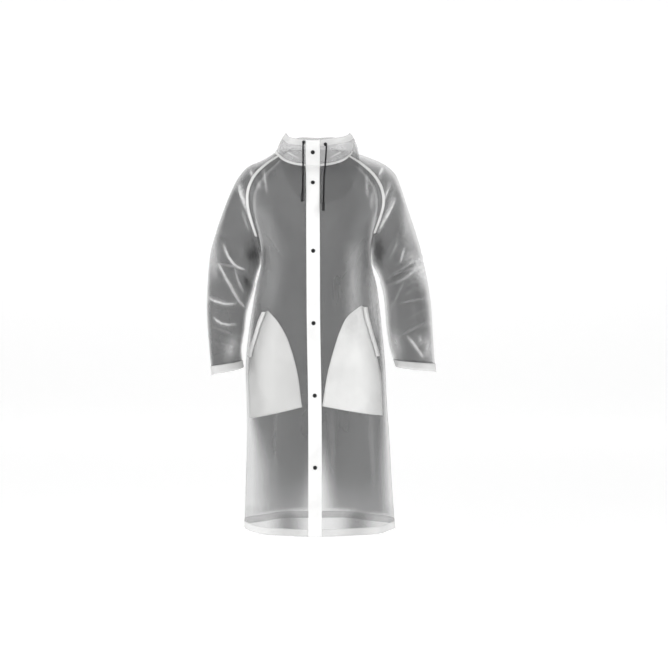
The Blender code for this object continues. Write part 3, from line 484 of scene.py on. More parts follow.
# Large creases of the sleeves, in front view. A ridge has a positive depth.
SLEEVE_CREASES = {
    # from across, height, to across, height, depth, width
    1: (
        (0.300, -0.345, 0.215, -0.395, -0.0065, 0.014),
        (0.330, -0.310, 0.250, -0.350, 0.0050, 0.013),
        (0.255, -0.235, 0.212, -0.330, 0.0050, 0.014),
        (0.236, -0.110, 0.200, -0.215, 0.0045, 0.013),
        (0.350, -0.455, 0.262, -0.490, 0.0040, 0.014),
        (0.352, -0.560, 0.290, -0.590, -0.0040, 0.013),
    ),
    -1: (
        (0.300, -0.350, 0.235, -0.447, -0.0060, 0.014),
        (0.330, -0.285, 0.215, -0.352, 0.0055, 0.014),
        (0.240, -0.095, 0.196, -0.225, 0.0050, 0.013),
        (0.330, -0.447, 0.250, -0.462, 0.0045, 0.013),
        (0.315, -0.506, 0.248, -0.526, 0.0045, 0.013),
        (0.330, -0.590, 0.270, -0.605, -0.0035, 0.013),
    ),
}
CREASE_END = 0.4  # depth of a large crease at its ends, as a share of its middle
AWAY = 0.35  # how far a surface may face back and still take what is drawn in front view
print("inner height of the cuffs:", [rings[0][2] for rings in SLEEVE_RINGS.values()])

# %% Points of the sleeves
def bezier(p0, p1, p2, p3, t):
    return (1 - t) ** 3 * p0 + 3 * t * (1 - t) ** 2 * p1 + 3 * t**2 * (1 - t) * p2 + t**3 * p3


def sleeve_row(start, outer, end, turn, handle):
    """A row of a sleeve: from its front seam round its outermost point to its back seam.

    `turn` is the heading at the seams, 0 forward and back, 90 outward. `handle` is the length of
    the curve's handles as a share of the chord.
    """
    turn = math.radians(turn)
    halves = []
    for seam, forward in ((start, -1.0), (end, 1.0)):
        reach = handle * np.linalg.norm(outer - seam)
        heading = np.array((math.copysign(1.0, outer[0]) * math.sin(turn), forward * math.cos(turn), 0.0))
        rise = np.array((0.0, 0.0, outer[2] - seam[2]))
        near = seam + heading * reach + rise / 3
        far = outer + np.array((0.0, forward * reach, 0.0)) - rise / 3
        steps = SLEEVE_STEPS // 2
        halves.append([bezier(seam, near, far, outer, i / steps) for i in range(steps + 1)])
    return halves[0] + halves[1][-2::-1]


def crease_offsets(points, normals, creases, side):
    """Displacement of each point along its normal, from creases drawn in front view."""
    offsets = np.zeros(points.shape[:2])
    flat = points[:, :, [0, 2]] * (side, 1.0)
    for x1, z1, x2, z2, depth, width in creases:
        distance, share = near_line(flat, ((x1, z1), (x2, z2)))
        taper = CREASE_END + (1 - CREASE_END) * tapered(share, inset=0.05)
        offsets += depth * taper * np.exp(-((distance / width) ** 2))
    return offsets * np.clip(AWAY - normals[:, :, 1], 0.0, 1.0)


def sleeve_grid(side):
    """A sleeve from cuff to neckline. Its first and last columns meet below the underarm."""
    rows = []
    length = abs(SLEEVE_RINGS[side][0][2] - UNDERARM_HEIGHT)
    shares = [0.0, *np.linspace(CUFF_BAND / length, 1.0, SLEEVE_ROWS + 1)]
    for share in shares:
        in_x, in_z, out_x, out_z, middle, half = along(SLEEVE_RINGS[side], share)
        inner = np.array((side * in_x, middle, in_z))
        outer = np.array((side * out_x, middle, out_z))
        handle = 4 / 3 * half / np.linalg.norm(outer - inner)
        rows.append(sleeve_row(inner, outer, inner, 0.0, handle))
    for level in upper_shares():
        out_x, out_z = along(SHOULDER_LINE[side], level)
        outer = np.array((side * out_x, SHOULDER_DEPTH * smoothstep(0, SHOULDER_EASE, level), out_z))
        start, end = raglan_point(side, level), raglan_point(side, level, True)
        handle = FULLNESS + UNDERARM_FULLNESS * (1 - level) ** 2.5
        rows.append(sleeve_row(start, outer, end, SEAM_TURN * smoothstep(*SEAM_EASE, level), handle))
    grid = np.array(rows)
    first, last = NECK_SEAM_ANGLES
    for column in range(SLEEVE_STEPS + 1):
        angle = first + (last - first) * column / SLEEVE_STEPS
        shift = neck_point(side, angle) - grid[-1, column]
        for i, level in enumerate(upper_shares()):
            grid[len(shares) + i, column] += shift * level**4
    normals = grid_normals(grid) * side
    offsets = crease_offsets(grid, normals, SLEEVE_CREASES[side], side)
    fade_rows = np.ones(len(grid))
    fade_rows[[0, 1, -1]] = 0.0
    fade_columns = np.ones(SLEEVE_STEPS + 1)
    fade_columns[[0, -1]] = 0.0
    return grid + normals * (offsets * fade_rows[:, None] * fade_columns)[:, :, None]


print("rows and columns of a sleeve:", sleeve_grid(1).shape[:2])

# %% [markdown]
# ## The lowered hood
# The hood lies down behind the neck as a pouch, and at the front its film stands up like a collar.
# Its shape is drawn as a set of profiles round the neckline, each a smooth curve through a few
# points: up to a fold, down to the bottom of the pouch and up again to the rim.

# %% Measurements of the hood
# The hood, lying down behind the neck: from the neckline its film goes up to a fold, down to the
# bottom of a pouch that lies on the back, and up again to its rim. At the front it only stands up.
HOOD_SECTIONS = (
    # angle, fold out and height, pouch bottom out and height, rim out and height
    (0.0, 0.0020, -0.018, 0.0040, 0.003, 0.0040, 0.038),
    (25.0, 0.0035, -0.012, 0.0060, 0.010, 0.0040, 0.045),
    (50.0, 0.0060, 0.002, 0.0100, 0.020, 0.0030, 0.052),
    (75.0, 0.0090, 0.018, 0.0120, 0.034, 0.0000, 0.061),
    (95.0, 0.0080, 0.032, 0.0110, 0.044, -0.0010, 0.066),
    (115.0, 0.0050, 0.052, 0.0360, 0.014, 0.0140, 0.066),
    (135.0, 0.0120, 0.058, 0.0820, -0.060, 0.0520, 0.060),
    (155.0, 0.0160, 0.056, 0.0960, -0.128, 0.0740, 0.052),
    (180.0, 0.0180, 0.054, 0.1000, -0.155, 0.0830, 0.046),
)
POUCH_BELLY, INNER_BELLY = 0.030, 0.012  # how far the layers of the pouch swell at the back
HOOD_SAMPLES = 120  # points along which a section's length is measured
POUCH_ANGLES = (100.0, 160.0)  # between these angles the standing collar becomes a pouch
HOOD_LEAN = {1: 0.004, -1: 0.029}  # how far the rim leans in at the side of the neck
LEAN_RISE, LEAN_FALL = (25.0, 75.0), (120.0, 180.0)  # angles between which the lean comes and goes
HOOD_TURN = {1: 0.0, -1: 20.0}  # how far the pouch turns from the side to the back, in degrees
TURN_RISE, TURN_FALL = (60.0, 110.0), (150.0, 180.0)  # angles between which the turn comes and goes
print("hood profiles:", len(HOOD_SECTIONS))

# %% Points of the hood
def hood_section(side, angle):
    """The film of the hood at one angle, from the neckline to the rim. Its last step is the channel."""
    seam = neck_point(side, angle)
    fold_out, fold_z, low_out, low_z, rim_out, rim_z = along(HOOD_SECTIONS, angle)
    pouch = smoothstep(*POUCH_ANGLES, angle)
    lean = HOOD_LEAN[side] * smoothstep(*LEAN_RISE, angle) * (1 - smoothstep(*LEAN_FALL, angle))
    turn = HOOD_TURN[side] * smoothstep(*TURN_RISE, angle) * (1 - smoothstep(*TURN_FALL, angle))
    heading = math.radians(angle + turn)
    outward = np.array((side * math.sin(heading), -math.cos(heading)))
    inward = np.array((-side * lean, 0.0))
    places = (
        # out, height, share of the lean
        (fold_out, fold_z, 0.5),
        ((fold_out + low_out) / 2 + INNER_BELLY * pouch, (fold_z + low_z) / 2, 0.65),
        (low_out, low_z, 0.8),
        ((low_out + rim_out) / 2 + POUCH_BELLY * pouch, (low_z + rim_z) / 2, 0.9),
        (rim_out, rim_z, 1.0),
    )
    nodes = [seam]
    nodes += [np.array((*(seam[:2] + outward * out + inward * part), z)) for out, z, part in places]
    keys = np.cumsum([0.0] + [np.linalg.norm(b - a) for a, b in zip(nodes, nodes[1:])])
    table = [(key, *node) for key, node in zip(keys, nodes)]
    fine = np.array([along(table, key) for key in np.linspace(0, keys[-1], HOOD_SAMPLES)])
    travel = np.cumsum([0.0, *np.linalg.norm(np.diff(fine, axis=0), axis=1)])
    stops = [*np.linspace(0, travel[-1] - CHANNEL_BAND, HOOD_ROWS), travel[-1]]
    return [np.array([np.interp(stop, travel, fine[:, k]) for k in range(3)]) for stop in stops]


def hood_grid(angles):
    """The hood, from the front edge at +X round the back to the front edge at -X."""
    return np.array([hood_section(side, angle) for side, angle in angles]).transpose(1, 0, 2)


print("the rim at the back:", [round(float(x), 3) for x in hood_section(1, 180.0)[-1]])

# %% [markdown]
# ## A finer grid
# Film that hangs is smooth between its creases, so the coarse grid is cut finer on smooth curves
# through its points instead of being subdivided, which would shrink it away from the frame.

# %% Cut a grid finer
BAND_CUTS, LOWER_CUTS, UPPER_CUTS, ARM_CUTS = 4, 12, 13, 11  # fine rows for each coarse row
FRONT_CUTS, BACK_CUTS, SLEEVE_CUTS, HOOD_CUTS = 8, 6, 8, 5
EDGE_CUTS = 2  # between a front's edge and the placket's edge


def finer(grid, row_cuts, column_cuts):
    """Cuts each step of a grid into so many, on smooth curves through its points."""
    for axis, cuts in ((0, row_cuts), (1, column_cuts)):
        lines = np.moveaxis(grid, axis, 0)
        gaps = np.linalg.norm(np.diff(lines, axis=0), axis=2).mean(axis=1)
        slopes = np.gradient(lines, np.cumsum([0.0, *gaps]), axis=0)
        fine = []
        for i, (gap, cut) in enumerate(zip(gaps, cuts)):
            t = np.arange(cut).reshape(-1, 1, 1) / cut
            fine.append(hermite(t, gap, lines[i], lines[i + 1], slopes[i], slopes[i + 1]))
        grid = np.moveaxis(np.concatenate([*fine, lines[-1:]]), 0, axis)
    return grid


def fine_panels():
    """The fine grids of all panels, by name, or by name and side."""
    lower = [BAND_CUTS] + [LOWER_CUTS] * LOWER_STEPS + [UPPER_CUTS] * UPPER_STEPS
    arm = [BAND_CUTS] + [ARM_CUTS] * SLEEVE_ROWS + [UPPER_CUTS] * UPPER_STEPS
    grids = {"back": finer(back_grid(), lower, [BACK_CUTS] * BACK_STEPS)}
    first, last = NECK_SEAM_ANGLES
    angles = []
    for _, side in HALVES:
        grids["front", side] = finer(front_grid(side), lower, [EDGE_CUTS] + [FRONT_CUTS] * FRONT_STEPS)
        grids["sleeve", side] = finer(sleeve_grid(side), arm, [SLEEVE_CUTS] * SLEEVE_STEPS)
        middle, edge, turn, _ = yoke_row(side, 1.0)
        half = [(side, first * share) for share in opening_shares(turn, middle[0], edge[0])[::2]]
        for start, end, steps in ((first, last, SLEEVE_STEPS // 2), (last, 180.0, BACK_STEPS // 4)):
            half += [(side, start + (end - start) * (i + 1) / steps) for i in range(steps)]
        angles += half if side > 0 else half[-2::-1]
    hood = hood_grid(angles)
    rows, columns = hood.shape[0] - 1, hood.shape[1] - 1
    grids["hood"] = finer(hood, [HOOD_CUTS] * rows, [HOOD_CUTS + 1] * columns)
    return grids


panels = fine_panels()
for name, grid in panels.items():
    print("grid", name, grid.shape[:2])

# %% [markdown]
# ## Where the creases lie
# Creases in film run from where it is held to where it is pressed: from the raglan seams down
# into the armpits, across the bent elbows, and in long soft waves up the skirt. Each one is a line
# with a depth and a width, drawn in front view. A ridge has a positive depth and a trough a
# negative one. The back has no picture to follow, so it gets creases of the same kind and number.

# %% Tables of creases
FILM_CREASES = {
    # from across, height, to across, height, depth, width. "front" and "back" name the side they show on
    ("sleeve", 1, "front"): (
        (0.233, -0.088, 0.200, -0.146, 0.0040, 0.0060),
        (0.245, -0.138, 0.196, -0.232, 0.0045, 0.0065),
        (0.254, -0.236, 0.214, -0.332, -0.0040, 0.0060),
        (0.264, -0.305, 0.258, -0.333, 0.0030, 0.0060),
        (0.300, -0.342, 0.214, -0.394, -0.0050, 0.0075),
        (0.303, -0.326, 0.236, -0.366, 0.0040, 0.0065),
        (0.337, -0.310, 0.300, -0.330, 0.0030, 0.0070),
        (0.328, -0.400, 0.262, -0.432, 0.0030, 0.0075),
        (0.346, -0.470, 0.282, -0.500, 0.0030, 0.0080),
        (0.290, -0.564, 0.326, -0.622, 0.0030, 0.0075),
        (0.352, -0.574, 0.300, -0.600, -0.0025, 0.0080),
        (0.184, -0.027, 0.206, -0.056, 0.0028, 0.0050),
        (0.163, -0.060, 0.206, -0.020, -0.0028, 0.0050),
        (0.196, -0.072, 0.246, -0.062, 0.0025, 0.0060),
        (0.184, -0.258, 0.174, -0.322, -0.0045, 0.0090),
    ),
    ("sleeve", -1, "front"): (
        (0.238, -0.090, 0.222, -0.149, 0.0040, 0.0060),
        (0.222, -0.149, 0.194, -0.223, 0.0035, 0.0060),
        (0.280, -0.285, 0.254, -0.339, 0.0040, 0.0065),
        (0.254, -0.339, 0.214, -0.356, 0.0040, 0.0065),
        (0.300, -0.350, 0.236, -0.446, -0.0048, 0.0070),
        (0.248, -0.366, 0.223, -0.422, 0.0035, 0.0060),
        (0.328, -0.446, 0.285, -0.460, 0.0035, 0.0065),
        (0.285, -0.460, 0.251, -0.460, 0.0035, 0.0065),
        (0.310, -0.506, 0.288, -0.521, 0.0030, 0.0065),
        (0.288, -0.521, 0.251, -0.525, 0.0030, 0.0065),
        (0.316, -0.240, 0.262, -0.262, -0.0028, 0.0070),
        (0.322, -0.572, 0.262, -0.588, 0.0025, 0.0075),
        (0.198, -0.052, 0.186, -0.099, 0.0028, 0.0050),
        (0.163, -0.046, 0.152, -0.109, 0.0028, 0.0050),
        (0.236, -0.060, 0.190, -0.070, -0.0025, 0.0055),
        (0.196, -0.226, 0.178, -0.300, -0.0045, 0.0090),
    ),
    ("sleeve", 1, "back"): (
        (0.240, -0.110, 0.205, -0.222, 0.0042, 0.0070),
        (0.262, -0.180, 0.216, -0.300, -0.0040, 0.0065),
        (0.318, -0.345, 0.238, -0.375, 0.0045, 0.0070),
        (0.322, -0.385, 0.244, -0.425, -0.0042, 0.0070),
        (0.338, -0.445, 0.262, -0.462, 0.0036, 0.0070),
        (0.345, -0.520, 0.268, -0.560, 0.0030, 0.0080),
        (0.205, -0.055, 0.176, -0.105, 0.0028, 0.0055),
    ),
    ("sleeve", -1, "back"): (
        (0.242, -0.105, 0.200, -0.205, 0.0042, 0.0070),
        (0.268, -0.200, 0.214, -0.290, -0.0038, 0.0065),
        (0.316, -0.335, 0.232, -0.352, 0.0042, 0.0070),
        (0.318, -0.372, 0.240, -0.418, -0.0045, 0.0070),
        (0.330, -0.440, 0.256, -0.470, 0.0036, 0.0070),
        (0.322, -0.535, 0.262, -0.556, 0.0030, 0.0080),
        (0.198, -0.050, 0.170, -0.098, 0.0028, 0.0055),
    ),
    ("front", 1, "front"): (
        (0.070, -0.050, 0.120, -0.105, 0.0010, 0.0080),
        (0.165, -0.250, 0.118, -0.330, 0.0014, 0.0090),
        (0.172, -0.300, 0.140, -0.420, -0.0014, 0.0090),
        (0.186, -0.420, 0.150, -0.560, 0.0014, 0.0100),
        (0.118, -0.300, 0.060, -0.400, -0.0008, 0.0140),
        (0.186, -0.800, 0.190, -1.125, 0.0029, 0.0150),
        (0.140, -0.840, 0.136, -1.125, -0.0026, 0.0160),
        (0.090, -0.860, 0.086, -1.125, 0.0023, 0.0150),
        (0.212, -0.700, 0.222, -1.100, -0.0023, 0.0130),
        (0.050, -0.520, 0.046, -0.760, 0.0007, 0.0120),
    ),
    ("front", -1, "front"): (
        (0.102, -0.040, 0.056, -0.060, 0.0009, 0.0070),
        (0.166, -0.250, 0.126, -0.340, 0.0014, 0.0090),
        (0.172, -0.310, 0.150, -0.430, -0.0014, 0.0090),
        (0.190, -0.430, 0.166, -0.570, 0.0013, 0.0100),
        (0.110, -0.310, 0.050, -0.390, -0.0008, 0.0140),
        (0.143, -0.830, 0.142, -1.125, 0.0031, 0.0150),
        (0.090, -0.860, 0.090, -1.125, -0.0026, 0.0150),
        (0.186, -0.830, 0.196, -1.110, -0.0026, 0.0150),
        (0.058, -0.860, 0.060, -1.125, 0.0017, 0.0120),
        (0.210, -0.700, 0.216, -1.100, 0.0021, 0.0130),
    ),
    ("back", 1, "back"): (
        (0.160, -0.240, 0.100, -0.340, 0.0034, 0.0100),
        (0.165, -0.300, 0.120, -0.440, -0.0030, 0.0100),
        (0.105, -0.160, 0.030, -0.220, 0.0022, 0.0120),
        (0.060, -0.420, 0.075, -0.620, 0.0022, 0.0150),
        (0.170, -0.700, 0.185, -1.125, 0.0048, 0.0160),
        (0.115, -0.760, 0.120, -1.125, -0.0044, 0.0160),
        (0.050, -0.800, 0.056, -1.125, 0.0046, 0.0170),
    ),
    ("back", -1, "back"): (
        (0.162, -0.235, 0.094, -0.330, 0.0034, 0.0100),
        (0.165, -0.310, 0.128, -0.450, -0.0030, 0.0100),
        (0.112, -0.165, 0.040, -0.232, 0.0022, 0.0120),
        (0.072, -0.440, 0.062, -0.640, 0.0022, 0.0150),
        (0.178, -0.720, 0.190, -1.125, -0.0046, 0.0160),
        (0.126, -0.740, 0.132, -1.125, 0.0048, 0.0160),
        (0.066, -0.810, 0.070, -1.125, -0.0044, 0.0170),
        (0.010, -0.860, 0.004, -1.125, 0.0040, 0.0150),
    ),
    ("hood", 1, "front"): (
        (0.042, -0.014, 0.090, 0.014, 0.0014, 0.0040),
        (0.050, 0.012, 0.098, 0.004, -0.0014, 0.0045),
        (0.060, 0.024, 0.104, 0.036, 0.0012, 0.0045),
    ),
    ("hood", -1, "front"): (
        (0.052, -0.016, 0.100, 0.012, 0.0014, 0.0040),
        (0.066, 0.016, 0.106, -0.002, -0.0014, 0.0045),
        (0.060, 0.030, 0.098, 0.040, 0.0012, 0.0045),
    ),
}

print("creases drawn:", sum(len(table) for table in FILM_CREASES.values()))

# %% [markdown]
# ## Where the film is painted white or dark
# A sharp fold scatters light and turns film white, and the shade beside it looks dark. Such lines
# are too fine to come from the shape alone, so the plainest ones are painted: a white line is partly
# the film's own whitening and partly a painted highlight, and a dark line or patch, as in the
# armpits, is painted shade. Each has a strength, a width and a few points in front view.

# %% Tables of painted highlights and shade
HIGHLIGHT_AND_SHADE_LINES = {
    # how white (film whitening and painted highlight) or, below 0, how dark (painted shade), width, and the
    # points of a line: across, height
    ("sleeve", 1): (
        (0.70, 0.0050, (0.227, -0.085), (0.206, -0.150), (0.191, -0.211)),
        (0.85, 0.0060, (0.243, -0.135), (0.227, -0.171), (0.206, -0.208), (0.191, -0.239)),
        (0.35, 0.0050, (0.251, -0.242), (0.243, -0.282), (0.227, -0.312), (0.210, -0.340)),
        (0.65, 0.0045, (0.270, -0.291), (0.259, -0.328)),
        (-0.55, 0.0045, (0.298, -0.340), (0.263, -0.365), (0.214, -0.394)),
        (0.45, 0.0050, (0.301, -0.359), (0.274, -0.380), (0.234, -0.402)),
        (0.55, 0.0280, (0.292, -0.290), (0.305, -0.371)),
        (0.60, 0.0200, (0.326, -0.331), (0.338, -0.405)),
        (0.55, 0.0200, (0.274, -0.156), (0.289, -0.262)),
        (0.35, 0.0040, (0.266, -0.399), (0.231, -0.473)),
        (-0.40, 0.0110, (0.240, -0.405), (0.231, -0.448)),
        (-1.00, 0.0200, (0.194, -0.262), (0.194, -0.331)),
        (0.80, 0.0060, (0.282, -0.560), (0.304, -0.589), (0.325, -0.620)),
        (0.50, 0.0070, (0.317, -0.559), (0.320, -0.577)),
        (0.60, 0.0200, (0.237, -0.553), (0.246, -0.614)),
        (0.60, 0.0180, (0.340, -0.565), (0.345, -0.620)),
        (0.80, 0.0070, (0.184, -0.091), (0.188, -0.110)),
        (0.80, 0.0050, (0.203, -0.042), (0.194, -0.066)),
        (0.60, 0.0045, (0.212, -0.036), (0.200, -0.054)),
    ),
    ("sleeve", -1): (
        (0.90, 0.0080, (0.235, -0.091), (0.226, -0.128), (0.215, -0.160)),
        (0.50, 0.0035, (0.226, -0.178), (0.205, -0.239)),
        (0.55, 0.0035, (0.215, -0.162), (0.192, -0.230)),
        (0.90, 0.0050, (0.281, -0.281), (0.268, -0.313), (0.251, -0.337), (0.234, -0.348), (0.215, -0.354)),
        (-0.40, 0.0050, (0.277, -0.245), (0.251, -0.322)),
        (1.00, 0.0055, (0.297, -0.341), (0.279, -0.380), (0.254, -0.419), (0.233, -0.454), (0.219, -0.470)),
        (0.55, 0.0045, (0.247, -0.356), (0.237, -0.390), (0.223, -0.423)),
        (0.90, 0.0050, (0.330, -0.442), (0.307, -0.451), (0.279, -0.459), (0.247, -0.458)),
        (0.85, 0.0050, (0.313, -0.502), (0.290, -0.518), (0.268, -0.522), (0.247, -0.521)),
        (-1.00, 0.0260, (0.200, -0.284), (0.193, -0.331)),
        (-0.90, 0.0110, (0.221, -0.374), (0.205, -0.414)),
        (0.55, 0.0160, (0.318, -0.235), (0.314, -0.371)),
        (0.65, 0.0200, (0.252, -0.567), (0.264, -0.618)),
        (0.80, 0.0070, (0.199, -0.052), (0.196, -0.068)),
        (0.85, 0.0080, (0.184, -0.095), (0.193, -0.108)),
    ),
    ("front", 1): (
        (-0.80, 0.0070, (0.172, -0.273), (0.169, -0.312)),
        (0.45, 0.0260, (0.112, -0.294), (0.118, -0.551)),
        (0.60, 0.0180, (0.175, -0.361), (0.187, -0.551)),
        (0.50, 0.0050, (0.154, -0.070), (0.156, -0.131)),
        (0.35, 0.0060, (0.171, -0.122), (0.169, -0.164)),
        (0.30, 0.0120, (0.181, -0.188), (0.175, -0.240)),
    ),
    ("front", -1): (
        (-0.80, 0.0060, (0.187, -0.240), (0.175, -0.279)),
        (-0.70, 0.0100, (0.163, -0.294), (0.169, -0.342)),
        (0.18, 0.0300, (0.163, -0.188), (0.151, -0.445)),
        (0.50, 0.0050, (0.159, -0.052), (0.150, -0.116)),
        (0.40, 0.0060, (0.175, -0.092), (0.169, -0.107)),
    ),
}

print("tints drawn:", sum(len(table) for table in HIGHLIGHT_AND_SHADE_LINES.values()))

# %% [markdown]
# ## Pressing the creases in
# A crease moves the points near it along the surface's own direction, and its ridge is painted white,
# partly as the film's own whitening and partly as a highlight, and its trough dark as shade. A
# shallower pair of troughs beside it gives it the sharp, papery look of film. The film lies still
# along its welded edges, so that seams stay closed, and is made milkier beside the side and sleeve seams.

# %% The edges of a panel
EDGE_CALM = 0.011  # film is held flat this far from a welded edge
SIDE_EDGES = ("first column", "last column")
EDGES = {
    # the edge that isn't welded to another panel, and the edges that turn milky
    "front": ("first row", ("last column",)),
    "back": ("first row", SIDE_EDGES),
    "sleeve": ("first row", SIDE_EDGES),
    "hood": ("last row", ()),
}


def columns_first(grid):
    return np.moveaxis(grid, 1, 0)


def from_edge(grid, edge):
    """The lines of a grid, counted from one of its edges."""
    lines = columns_first(grid) if "column" in edge else grid
    return lines[::-1] if "last" in edge else lines


def edge_travel(grid, edge):
    """How far each point lies from one edge of a panel, measured along the film."""
    steps = np.linalg.norm(np.diff(from_edge(grid, edge), axis=0), axis=2)
    travel = np.concatenate([np.zeros((1, steps.shape[1])), np.cumsum(steps, axis=0)])
    travel = travel[::-1] if "last" in edge else travel
    return travel.T if "column" in edge else travel


def edge_calm(grid, free_edge):
    """A factor that is 0 on the welded edges of a panel and 1 away from them."""
    calm = np.ones(grid.shape[:2])
    for edge in ("first row", "last row", *SIDE_EDGES):
        if edge != free_edge:
            calm *= smoothstep(0.0, EDGE_CALM, edge_travel(grid, edge))
    return calm


print("height of a front's middle column:", round(edge_travel(panels["front", 1], "first row")[-1, 0], 3))

# %% Creases, painted highlights and shade, and waves
SIDE_TROUGH = 0.38  # depth of the troughs beside a ridge, as a share of the ridge
SIDE_PLACE = 1.75  # how far off they lie, in widths
OVERLAP = 0.02  # how far the creases of one half of the coat reach into the other half
FACING = 1.6  # how fast creases, their painted highlights and shade, and the painted lines appear as a surface turns to their side
MARK_DEPTH = 0.0040  # the depth of a crease whose painted line is fully white on a ridge and fully dark with painted shade in a trough
MARK_SHARPNESS = 1.8  # how much narrower the painted line of highlight and shade is than its crease
HAZE, HAZE_WIDTH = 0.28, 0.009  # how milky the film is beside a seam, and how far from it
HAZE_TOP, HAZE_TOP_FADE = -0.34, 0.06  # the height where the haze ends, and over which it fades
HAZE_FOOT, HAZE_FOOT_FADE = -0.80, 0.20


def highlight_and_shade_shape(grid, normals, table, side):
    """How white (film whitening and painted highlight) and, below 0, how dark (painted shade) painted lines
    make the side of a panel that faces forward.
    """
    flat = grid[:, :, [0, 2]] * (side, 1.0)
    painted_lines = np.zeros(grid.shape[:2])
    for strength, width, *points in table:
        distance, share = near_line(flat, points)
        painted_lines += strength * tapered(share, inset=0.05, power=0.35) * np.exp(-((distance / width) ** 2))
    return painted_lines * np.clip(AWAY - FACING * normals[:, :, 1], 0, 1)


def crease_shape(grid, normals, table, side, facing):
    """How far creases move each point outward, and the white (highlight and whitening) and, below 0, the
    painted shade they put on the film.
    """
    flat = grid[:, :, [0, 2]] * (side, 1.0)
    height, mark = np.zeros(grid.shape[:2]), np.zeros(grid.shape[:2])
    for x1, z1, x2, z2, depth, width in table:
        distance, share = near_line(flat, ((x1, z1), (x2, z2)))
        distance = distance / width
        taper = tapered(share, inset=0.04, power=0.7)
        shape = np.exp(-(distance**2)) - SIDE_TROUGH * np.exp(-((distance - SIDE_PLACE) ** 2))
        height += depth * taper * shape
        # a ridge is painted white, partly as the film's whitening and partly as a highlight; a trough is
        # painted dark as shade
        mark += depth / MARK_DEPTH * taper * np.exp(-((distance * MARK_SHARPNESS) ** 2))
    facing_us = normals[:, :, 1] * (-FACING if facing == "front" else FACING)
    own_side = grid[:, :, 0] * side > -OVERLAP
    return height * np.clip(0.5 + facing_us, 0, 1) * own_side, mark * np.clip(facing_us, 0, 1) * own_side


def waves(grid, across, upward):
    """Uneven waves of noise on a panel, with so many to the metre across and up and down."""
    height = np.empty(grid.shape[:2])
    for r, row in enumerate(grid * (across, across, upward)):
        for c, point in enumerate(row):
            height[r, c] = noise.noise(Vector(point))
    return height


def seam_haze(grid, edges):
    """Film is made milky beside a side or sleeve seam, most at the waist."""
    height = grid[:, :, 2]
    window = np.clip((HAZE_TOP - height) / HAZE_TOP_FADE, 0, 1)
    window = window * np.clip((height - HAZE_FOOT) / HAZE_FOOT_FADE, 0, 1)
    haze = sum(np.exp(-((edge_travel(grid, edge) / HAZE_WIDTH) ** 2)) for edge in edges)
    return HAZE * haze * window


print("most haze on the back:", round(float(seam_haze(panels["back"], SIDE_EDGES).max()), 2))

# %% Press them into the panels
RIPPLE = 0.0011  # height of the slow waves that all the film has
RIPPLE_SCALE = (17, 8)  # how many of them lie in a metre across and a metre up
MARK_UNEVEN = 0.3  # how much the white changes along a line
MARK_SCALE = (110, 110)  # and how often in a metre
MARK_SHARE = {
    # how much of their full painted highlight and shade the creases of a panel get
    ("sleeve", "front"): 0.15,
    ("sleeve", "back"): 0.25,
    ("front", "front"): 0.10,
    ("back", "back"): 0.08,
    ("hood", "front"): 0.80,
}


def press(key):
    """Adds creases and waves to a panel, and keeps the white and the painted shade of its film: crease
    highlights, painted lines and milkier film by its seams.
    """
    kind, side = (key, 1) if isinstance(key, str) else key
    free_edge, hazy_edges = EDGES[kind]
    grid = panels[key]
    normals = grid_normals(grid) * side
    height, mark = waves(grid, *RIPPLE_SCALE) * RIPPLE, seam_haze(grid, hazy_edges)
    for (owner, half, facing), table in FILM_CREASES.items():
        if key in (owner, (owner, half)):
            moved, marked = crease_shape(grid, normals, table, half, facing)
            height, mark = height + moved, mark + marked * MARK_SHARE[kind, facing]
    if key in HIGHLIGHT_AND_SHADE_LINES:
        mark += highlight_and_shade_shape(grid, normals, HIGHLIGHT_AND_SHADE_LINES[key], side)
    painted_whites_and_shade[key] = np.clip(mark * (1 + MARK_UNEVEN * waves(grid, *MARK_SCALE)), -1.0, 1.0)
    panels[key] = grid + normals * (height * edge_calm(grid, free_edge))[:, :, None]


painted_whites_and_shade = {}
for key in panels:
    press(key)
print("whitest and darkest:", {key: (round(f.max(), 2), round(f.min(), 2)) for key, f in painted_whites_and_shade.items()})

# %% [markdown]
# ## Finishes
# Milky film is thin: part of the light goes straight through and part is scattered back as a soft
# pale veil. In a shader that is a low alpha on a pale base colour. Film that faces back is deeper,
# which gives the coat its grey core and its pale outlines. A crease is painted white, partly the
# film's own whitening and partly a painted highlight, and its trough and the armpits are painted dark
# as shade. All of them are painted on each panel's points and read here by name, so no seam shows a
# jump. Doubled film lets much less light through, so it reads white. Every film has slow cloudiness,
# a fine frosted grain and faint wrinkles from noise on Object coordinates; seam tapes also get weld
# lines from their UV map.

# %% Helpers for node trees
USUAL_NOISE = (0.3, 0.7)  # the values that noise mostly has
TONE_STOPS = (0.32, 0.68)


def new_finish(name):
    made = bpy.data.materials.new(name)
    made.use_nodes = True
    return made, made.node_tree.nodes, made.node_tree.links, made.node_tree.nodes["Principled BSDF"]


def feed(links, node, inputs):
    """Fills a node's inputs: a socket is linked to its input, and any other value is set."""
    for name, value in inputs.items():
        if isinstance(value, bpy.types.NodeSocket):
            links.new(value, node.inputs[name])
        else:
            node.inputs[name].default_value = value


def noise_on(nodes, links, source, scale, detail, stretch=(1.0, 1.0, 1.0)):
    """A noise texture on a set of coordinates, stretched along its axes."""
    mapping, texture = nodes.new("ShaderNodeMapping"), nodes.new("ShaderNodeTexNoise")
    feed(links, mapping, {"Vector": source, "Scale": stretch})
    feed(links, texture, {"Vector": mapping.outputs["Vector"], "Scale": scale, "Detail": detail})
    return texture.outputs["Fac"]


def ranged(nodes, links, value, start, end, low=0.0, high=1.0):
    """Turns a value between start and end into one between low and high."""
    step = nodes.new("ShaderNodeMapRange")
    feed(links, step, {"Value": value, "From Min": start, "From Max": end, "To Min": low, "To Max": high})
    return step.outputs["Result"]


